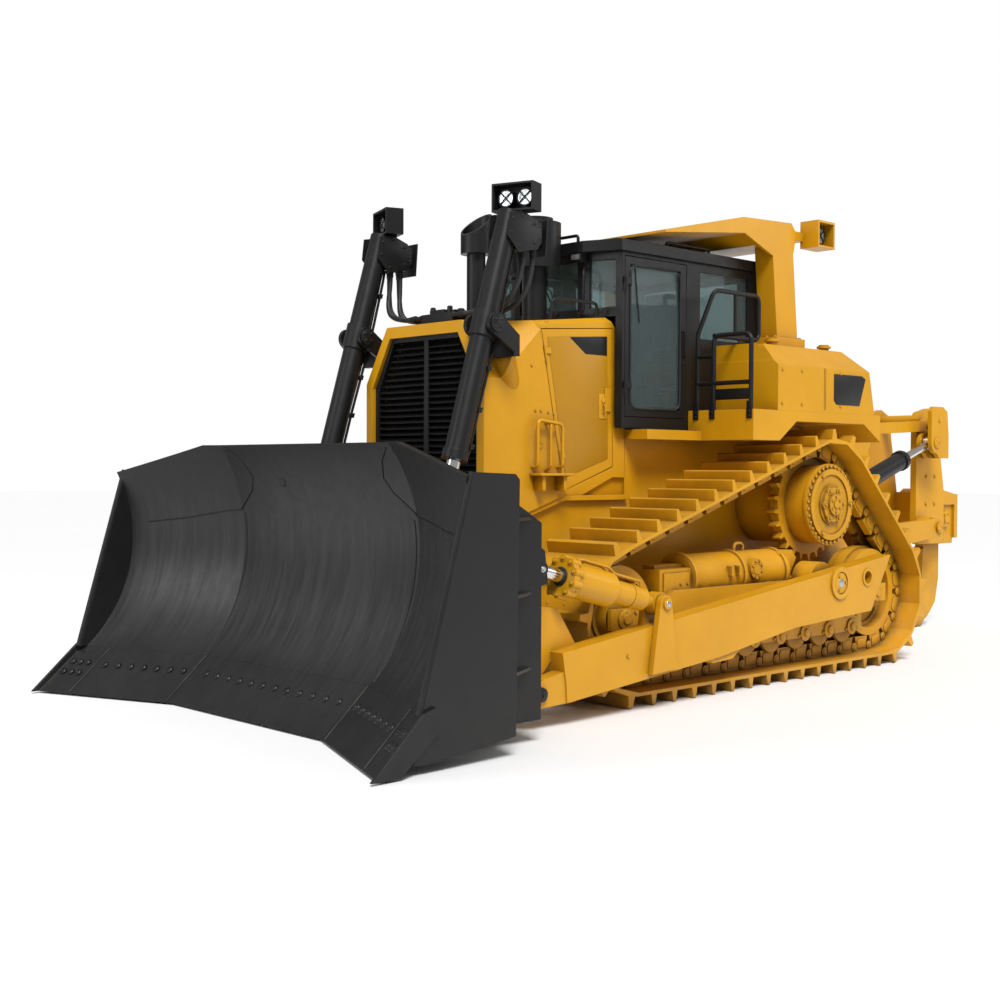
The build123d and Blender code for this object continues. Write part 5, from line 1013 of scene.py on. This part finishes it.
class DOZER_OT_badges(bpy.types.Operator):
    """Add the tank's blank badge plate and the bolts, treads, steps and brackets of the body's sides"""
    bl_idname = "dozer.badges"
    bl_label = "Badge, steps and brackets"

    def execute(self, context):
        shape = Shape("plate_black", "machine_yellow", "step_black")
        shape.plate(TANK_BADGE, 1.428, 1.434, 0, 0.002)
        for side, _ in SIDES:
            axis = (0, side, 0)
            corners = [(x, z) for x in (0.14, -0.14, -0.72) for z in (2.32, 2.60)]
            shape.bolts(at_y(corners, side * 1.430), axis, 0.010, 1)
            for x in (0.285, 0.375, 0.465):
                shape.block((x - 0.030, x + 0.030), side * 1.09, 0.29, (2.2615, 2.266), 2, 0.001)
            for x in (0.62, 0.76, 0.90, 1.04, 1.18):
                shape.block((x - 0.045, x + 0.045), side * 0.78, 0.10, (2.0895, 2.094), 2, 0.001)
            shape.plate(APRON, side * 0.612, side * 0.622, 1, 0.002)
            shape.rail(mirrored(STEP_HOOP, side), 0.045, 0.014, 10, 1)
            shape.rail(mirrored(STEP_BAR, side), 0.03, 0.012, 10, 1)
            shape.plate(STEP_PLATE, side * 0.69, side * 0.83, 1, 0.003)
            for x in (2.05, 2.28):
                strut = [(x, 1.60), (x + 0.03, 1.60), (x + 0.04, 1.716), (x, 1.716)]
                shape.plate(strut, side * 0.695, side * 0.80, 1, 0.003)
            shape.turned((2.25, side * 0.70, 1.95), axis,
                         [(0, 0.030), (0.006, 0.030), (0.008, 0.018), (0.003, 0.016), (0.003, 0)], 18, 1)
            shape.bolts(at_y(GUARD_BOLTS, side * 0.70), axis, 0.009, 1)
            knob = (2.115, side * 0.62, 2.893)
            shape.cap(knob, (0.20, side * 0.5, 1), (0.018, 0.010), (0.02, 0.026), 12, 1)
            for y in (0.84, 1.01, 1.39):
                shape.block((0.534, 0.544), side * y, 0.026, (2.185, 2.330), 0, 0.003)
                shape.bolts([(0.544, side * y, z) for z in (2.205, 2.24)], (1, 0, 0), 0.010)
            shape.block((0.500, 0.512), side * 1.20, 0.185, (2.345, 2.435), 0, 0.002)
        shape.made("badges", "tractor")
        return {"FINISHED"}


FRAME_MIDDLE = 0.230        # x of the roller frame's middle
ROLLER_END = ((0, 0.072), (0.014, 0.072), (0.020, 0.062), (0.020, 0.038), (0.034, 0.034), (0.038, 0.024),
              (0.038, 0))
IDLER_END = ((0, 0.078), (0.012, 0.078), (0.018, 0.066), (0.018, 0.040), (0.030, 0.036), (0.030, 0))
PIVOT_RING = ((0, 0.050), (0.004, 0.050), (0.006, 0.044), (0.002, 0.040), (0.002, 0))


class DOZER_OT_drive_hardware(bpy.types.Operator):
    """Add the bolts of the final drives, the roller frames and the roller ends"""
    bl_idname = "dozer.drive_hardware"
    bl_label = "Drive hardware"

    def execute(self, context):
        shape = Shape("cast_yellow", "zinc_plate")
        x, z, _ = WHEELS[1]
        for side, _ in SIDES:
            axis = (0, side, 0)
            shape.bolt_ring((x, side * 1.395, z), axis, 0.331, 34, 0.0145)
            shape.bolt_ring((x, side * 1.417, z), axis, 0.285, 3, 0.017)
            shape.bolt_ring((x, side * 1.445, z), axis, 0.135, 6, 0.013, first=0)
            shape.bolt_ring((x, side * 1.462, z), axis, 0.066, 6, 0.010)
            shape.cap((x, side * 1.462, z), axis, (0.034, 0.024), (0.008, 0.012), 24)
            shape.bolt_ring((0.338, side * 1.337, 0.949), axis, 0.066, 8, 0.0095)
            shape.turned((0.338, side * 1.337, 0.949), axis, PIVOT_RING, 28)
            for index in range(8):
                at = (index - 3.5) * 0.358 + FRAME_MIDDLE
                shape.turned((at, side * 1.3645, 0.373), axis, ROLLER_END, 20)
                corners = [(at + along, 0.373 + up) for up in (-0.02, 0.10) for along in (-0.085, 0.085)]
                shape.bolts(at_y(corners, side * 1.365), axis, 0.013)
            for way in (1, -1):
                at = FRAME_MIDDLE + way * 1.735
                shape.turned((at, side * 1.3245, 0.645), axis, IDLER_END, 28)
                shape.bolt_ring((at, side * 1.3365, 0.645), axis, 0.058, 6, 0.008)
                row = [(at - way * offset, 0.69) for offset in (0.12, 0.20, 0.28, 0.36)]
                shape.bolts(at_y(row, side * 1.325), axis, 0.013)
            shape.cap((-0.400, side * 1.655, 0.811), axis, (0.090, 0.082), (0.006, 0.010), 32)
            shape.bolt_ring((-0.400, side * 1.664, 0.811), axis, 0.066, 3, 0.011)
            shape.cap((-0.400, side * 1.664, 0.811), axis, (0.036, 0.030), (0.004, 0.006), 24, 1)
            shape.bolts([(0.94 + 0.33 * k / 4, side * 1.287, 0.87) for k in range(5)], axis, 0.011)
        shape.made("drive_hardware", "tractor")
        return {"FINISHED"}


class DOZER_OT_arm_hardware(bpy.types.Operator):
    """Add the pin ends of the push arms, the tilt cylinders and the lift rods"""
    bl_idname = "dozer.arm_hardware"
    bl_label = "Arm and blade pins"

    def execute(self, context):
        arms = Shape("machine_yellow", "zinc_plate")
        blade = Shape("charcoal_paint", "zinc_plate")
        (foot_x, foot_z), (eye_x, eye_z) = TILT_AXIS
        lift_x, lift_z = LIFT_AXIS[1]
        for side, _ in SIDES:
            axis = (0, side, 0)
            foot = (foot_x, side * (TILT_Y + 0.110), foot_z)
            arms.cap(foot, axis, (0.041, 0.036), (0.006, 0.009))
            arms.turned(foot, axis, [(0.008, 0.026), (0.012, 0.026), (0.014, 0.022), (0.014, 0)], 6, 1)
            arms.bolt((2.30, side * 1.650, 0.43), axis, 0.012)
            blade.cap((eye_x, side * (TILT_Y + 0.098), eye_z), axis, (0.052, 0.044), (0.008, 0.012))
            blade.bolt((eye_x, side * (TILT_Y + 0.110), eye_z), axis, 0.016, 1)
            blade.cap((3.171, side * 1.658, 0.250), axis, (0.048, 0.042), (0.008, 0.012))
            blade.bolt((3.171, side * 1.670, 0.250), axis, 0.013)
            blade.cap((lift_x, side * (LIFT_Y + 0.098), lift_z), axis, (0.050, 0.042), (0.010, 0.014))
        arms.made("arm_hardware", "push_arms_body")
        blade.made("blade_pins", "blade")
        return {"FINISHED"}


TILT_PIPE = ((0.24, 0.080), (0.24, 0.118), (0.40, 0.118), (0.54, 0.118), (0.60, 0.150), (0.90, 0.150),
             (0.93, 0.120))


class DOZER_OT_tilt_lines(bpy.types.Operator):
    """Add the head bolts, the rod seal, the pipes and the bands of each tilt cylinder"""
    bl_idname = "dozer.tilt_lines"
    bl_label = "Tilt cylinder fittings"

    def execute(self, context):
        tilt = Shape("machine_yellow", "rubber_black")
        for side, _ in SIDES:
            y = side * TILT_Y
            face, ahead = on_line(TILT_AXIS, y, 1.044)
            up = Vector((-ahead.z, 0, ahead.x))
            ring = [face + up * rise + Vector((0, across * side, 0)) for rise, across in circle(0.128, 10)]
            tilt.bolts(ring, ahead, 0.013)
            seal, _ = on_line(TILT_AXIS, y, 1.040)
            tilt.turned(seal, ahead, [(0, 0.066), (0.010, 0.066), (0.014, 0.058), (0.014, 0.0495)], 28, 1)
            for across in (-0.03, 0.03):
                path = [on_line(TILT_AXIS, y, distance, rise, across)[0] for distance, rise in TILT_PIPE]
                tilt.rail(path, 0.03, 0.010, 8)
            for distance in (0.30, 0.50):
                band, _ = on_line(TILT_AXIS, y, distance)
                tilt.turned(band, ahead, [(0, 0.0865), (0, 0.091), (0.03, 0.091), (0.03, 0.0865)], 28)
        tilt.made("tilt_lines", "tilt_barrel_body")
        return {"FINISHED"}


SHANK_PIN = ((0, 0.090), (0.012, 0.090), (0.018, 0.078), (0.018, 0.050), (0.030, 0.046), (0.030, 0))


class DOZER_OT_ripper_hardware(bpy.types.Operator):
    """Add the pins and bolts of the ripper, and the bolts of the roll-over frame's feet"""
    bl_idname = "dozer.ripper_hardware"
    bl_label = "Ripper hardware"

    def execute(self, context):
        tractor = Shape("machine_yellow")
        head = Shape("machine_yellow")
        for side, _ in SIDES:
            axis = (0, side, 0)
            for x, z in ((-2.490, 1.080), (-2.450, 1.600)):
                tractor.cap((x, side * 0.600, z), axis, (0.070, 0.062), (0.010, 0.014))
                tractor.bolt_ring((x, side * 0.613, z), axis, 0.045, 3, 0.010)
            tractor.bolts([(-2.28, side * 0.600, z) for z in (1.02, 1.36, 1.84, 2.14)], axis, 0.016)
            feet = [(x, side * y, 2.930) for x in (-0.718, -0.353) for y in (0.83, 0.915, 1.0)]
            tractor.bolts(feet, UP, 0.016)
            for x, y, z in ((-4.000, 0.565, 1.150), (-3.850, 0.605, 2.060)):
                head.cap((x, side * y, z), axis, (0.056, 0.048), (0.010, 0.014))
                head.bolt_ring((x, side * (y + 0.013), z), axis, 0.032, 3, 0.008)
            head.turned((-4.72, side * 0.230, 1.22), axis, SHANK_PIN, 32)
            head.bolt_ring((-4.72, side * 0.248, 1.22), axis, 0.064, 4, 0.010)
            head.bolts([(x, side * 0.330, z) for x in (-4.30, -4.12) for z in (1.40, 1.70)], axis, 0.016)
            head.bolt((-3.90, side * 0.605, 2.30), axis, 0.014)
        tractor.made("rear_hardware", "tractor")
        head.made("ripper_pins", "ripper_head")
        return {"FINISHED"}


# ---------------------------------------------------------------- studio
AREA_LIGHTS = (     # name, place, aim, size, watts
    ("front", (14, -3, 6), (3, 0, 1.2), 6, 260),
    ("rear", (-9, 9, 7), (-2, 1, 1.5), 5, 160),
)
SUN_FROM = (5.5, 8.5, 12.5)
FLOOR_REACH, FLOOR_Z = 90.0, -0.002
CAMERA_PLACE = (9.716, 8.183, 1.763)
YAW, PITCH, ROLL = math.radians(226.70), math.radians(-1.275), math.radians(0.227)


def studio_floor():
    """Pale matt material with a faint unevenness."""
    item = bpy.data.materials.new("studio_floor")
    item.use_nodes = True
    w = Wiring(item.node_tree)
    tone = rgba("floor")
    clouds = w.ramp(w.noise(w.place(), 0.4), 0.3, 0.7)
    shader = item.node_tree.nodes["Principled BSDF"]
    w.fill(shader, Base_Color=w.mix(clouds, tone, [c * 0.985 for c in tone]), Roughness=0.75)
    return item


def lamp_object(light, place, aim):
    """Light at a place, turned to its aim."""
    item = bpy.data.objects.new(light.name, light)
    turn = (Vector(aim) - Vector(place)).to_track_quat("-Z", "Y").to_matrix().to_4x4()
    item.matrix_world = Matrix.Translation(place) @ turn
    bpy.context.scene.collection.objects.link(item)


class DOZER_OT_stage(bpy.types.Operator):
    """Lay the floor and place the lights and the camera"""
    bl_idname = "dozer.stage"
    bl_label = "Stage"

    def execute(self, context):
        mesh = bpy.data.meshes.new("floor")
        corners = [(x * FLOOR_REACH, y * FLOOR_REACH, FLOOR_Z)
                   for x, y in ((-1, -1), (1, -1), (1, 1), (-1, 1))]
        mesh.from_pydata(corners, [], [(0, 1, 2, 3)])
        mesh.materials.append(studio_floor())
        floor = bpy.data.objects.new("floor", mesh)
        context.scene.collection.objects.link(floor)
        world = bpy.data.worlds.new("studio")
        world.use_nodes = True
        sky = Wiring(world.node_tree)
        seen = sky.put("LightPath").outputs["Is Camera Ray"]
        sky.fill(world.node_tree.nodes["Background"], Color=(1.0, 1.0, 1.0, 1),
                 Strength=sky.ramp(seen, 0.0, 1.0, 0.36, 1.0))
        context.scene.world = world
        sun = bpy.data.lights.new("sun", "SUN")
        sun.energy = 3.45
        sun.angle = math.radians(22)
        lamp_object(sun, SUN_FROM, (0, 0, 0))
        for name, place, aim, size, watts in AREA_LIGHTS:
            light = bpy.data.lights.new(name, "AREA")
            light.shape = "DISK"
            light.size = size
            light.energy = watts
            lamp_object(light, place, aim)
        optics = bpy.data.cameras.new("camera")
        optics.sensor_width = 36.0
        optics.lens = 49.77
        optics.clip_end = 300.0
        ahead = Vector((math.cos(PITCH) * math.cos(YAW), math.cos(PITCH) * math.sin(YAW), math.sin(PITCH)))
        right = ahead.cross(Vector(UP)).normalized()
        up = right.cross(ahead)
        level, tipped = math.cos(ROLL), math.sin(ROLL)
        right, up = right * level + up * tipped, up * level - right * tipped
        camera = bpy.data.objects.new("camera", optics)
        turn = Matrix((right, up, -ahead)).transposed().to_4x4()
        camera.matrix_world = Matrix.Translation(CAMERA_PLACE) @ turn
        context.scene.collection.objects.link(camera)
        context.scene.camera = camera
        context.scene.view_settings.view_transform = "Standard"
        return {"FINISHED"}


OPERATORS = (
    DOZER_OT_finish_nodes, DOZER_OT_track_hardware, DOZER_OT_blade_hardware, DOZER_OT_blade_lamps,
    DOZER_OT_work_lamps, DOZER_OT_hoses, DOZER_OT_lift_lines, DOZER_OT_manifold, DOZER_OT_radiator_core,
    DOZER_OT_cab_controls, DOZER_OT_seat_trim, DOZER_OT_wipers, DOZER_OT_cab_door_fittings,
    DOZER_OT_cab_rails,
    DOZER_OT_engine_door_fittings, DOZER_OT_badges, DOZER_OT_drive_hardware, DOZER_OT_arm_hardware,
    DOZER_OT_tilt_lines, DOZER_OT_ripper_hardware, DOZER_OT_stage,
)


class DOZER_PT_panel(bpy.types.Panel):
    """Lists the pieces of the bulldozer's finish, its colours and its sizes"""
    bl_idname = "DOZER_PT_panel"
    bl_label = "Bulldozer"
    bl_space_type = "VIEW_3D"
    bl_region_type = "UI"
    bl_category = "Bulldozer"

    def draw(self, context):
        column = self.layout.column()
        for operator in OPERATORS:
            column.operator(operator.bl_idname)
        for group in (context.scene.dozer_finish, context.scene.dozer_sizes):
            for key in group.bl_rna.properties.keys():
                if key not in ("rna_type", "name"):
                    column.prop(group, key)


CLASSES = (DOZER_PG_finish, DOZER_PG_sizes, *OPERATORS, DOZER_PT_panel)


def register():
    for item in CLASSES:
        bpy.utils.register_class(item)
    bpy.types.Scene.dozer_finish = PointerProperty(type=DOZER_PG_finish)
    bpy.types.Scene.dozer_sizes = PointerProperty(type=DOZER_PG_sizes)


def unregister():
    del bpy.types.Scene.dozer_sizes
    del bpy.types.Scene.dozer_finish
    for item in reversed(CLASSES):
        bpy.utils.unregister_class(item)


def main():
    register()
    for operator in OPERATORS:
        getattr(bpy.ops.dozer, operator.bl_idname.split(".")[1])()


if __name__ == "__main__":
    main()
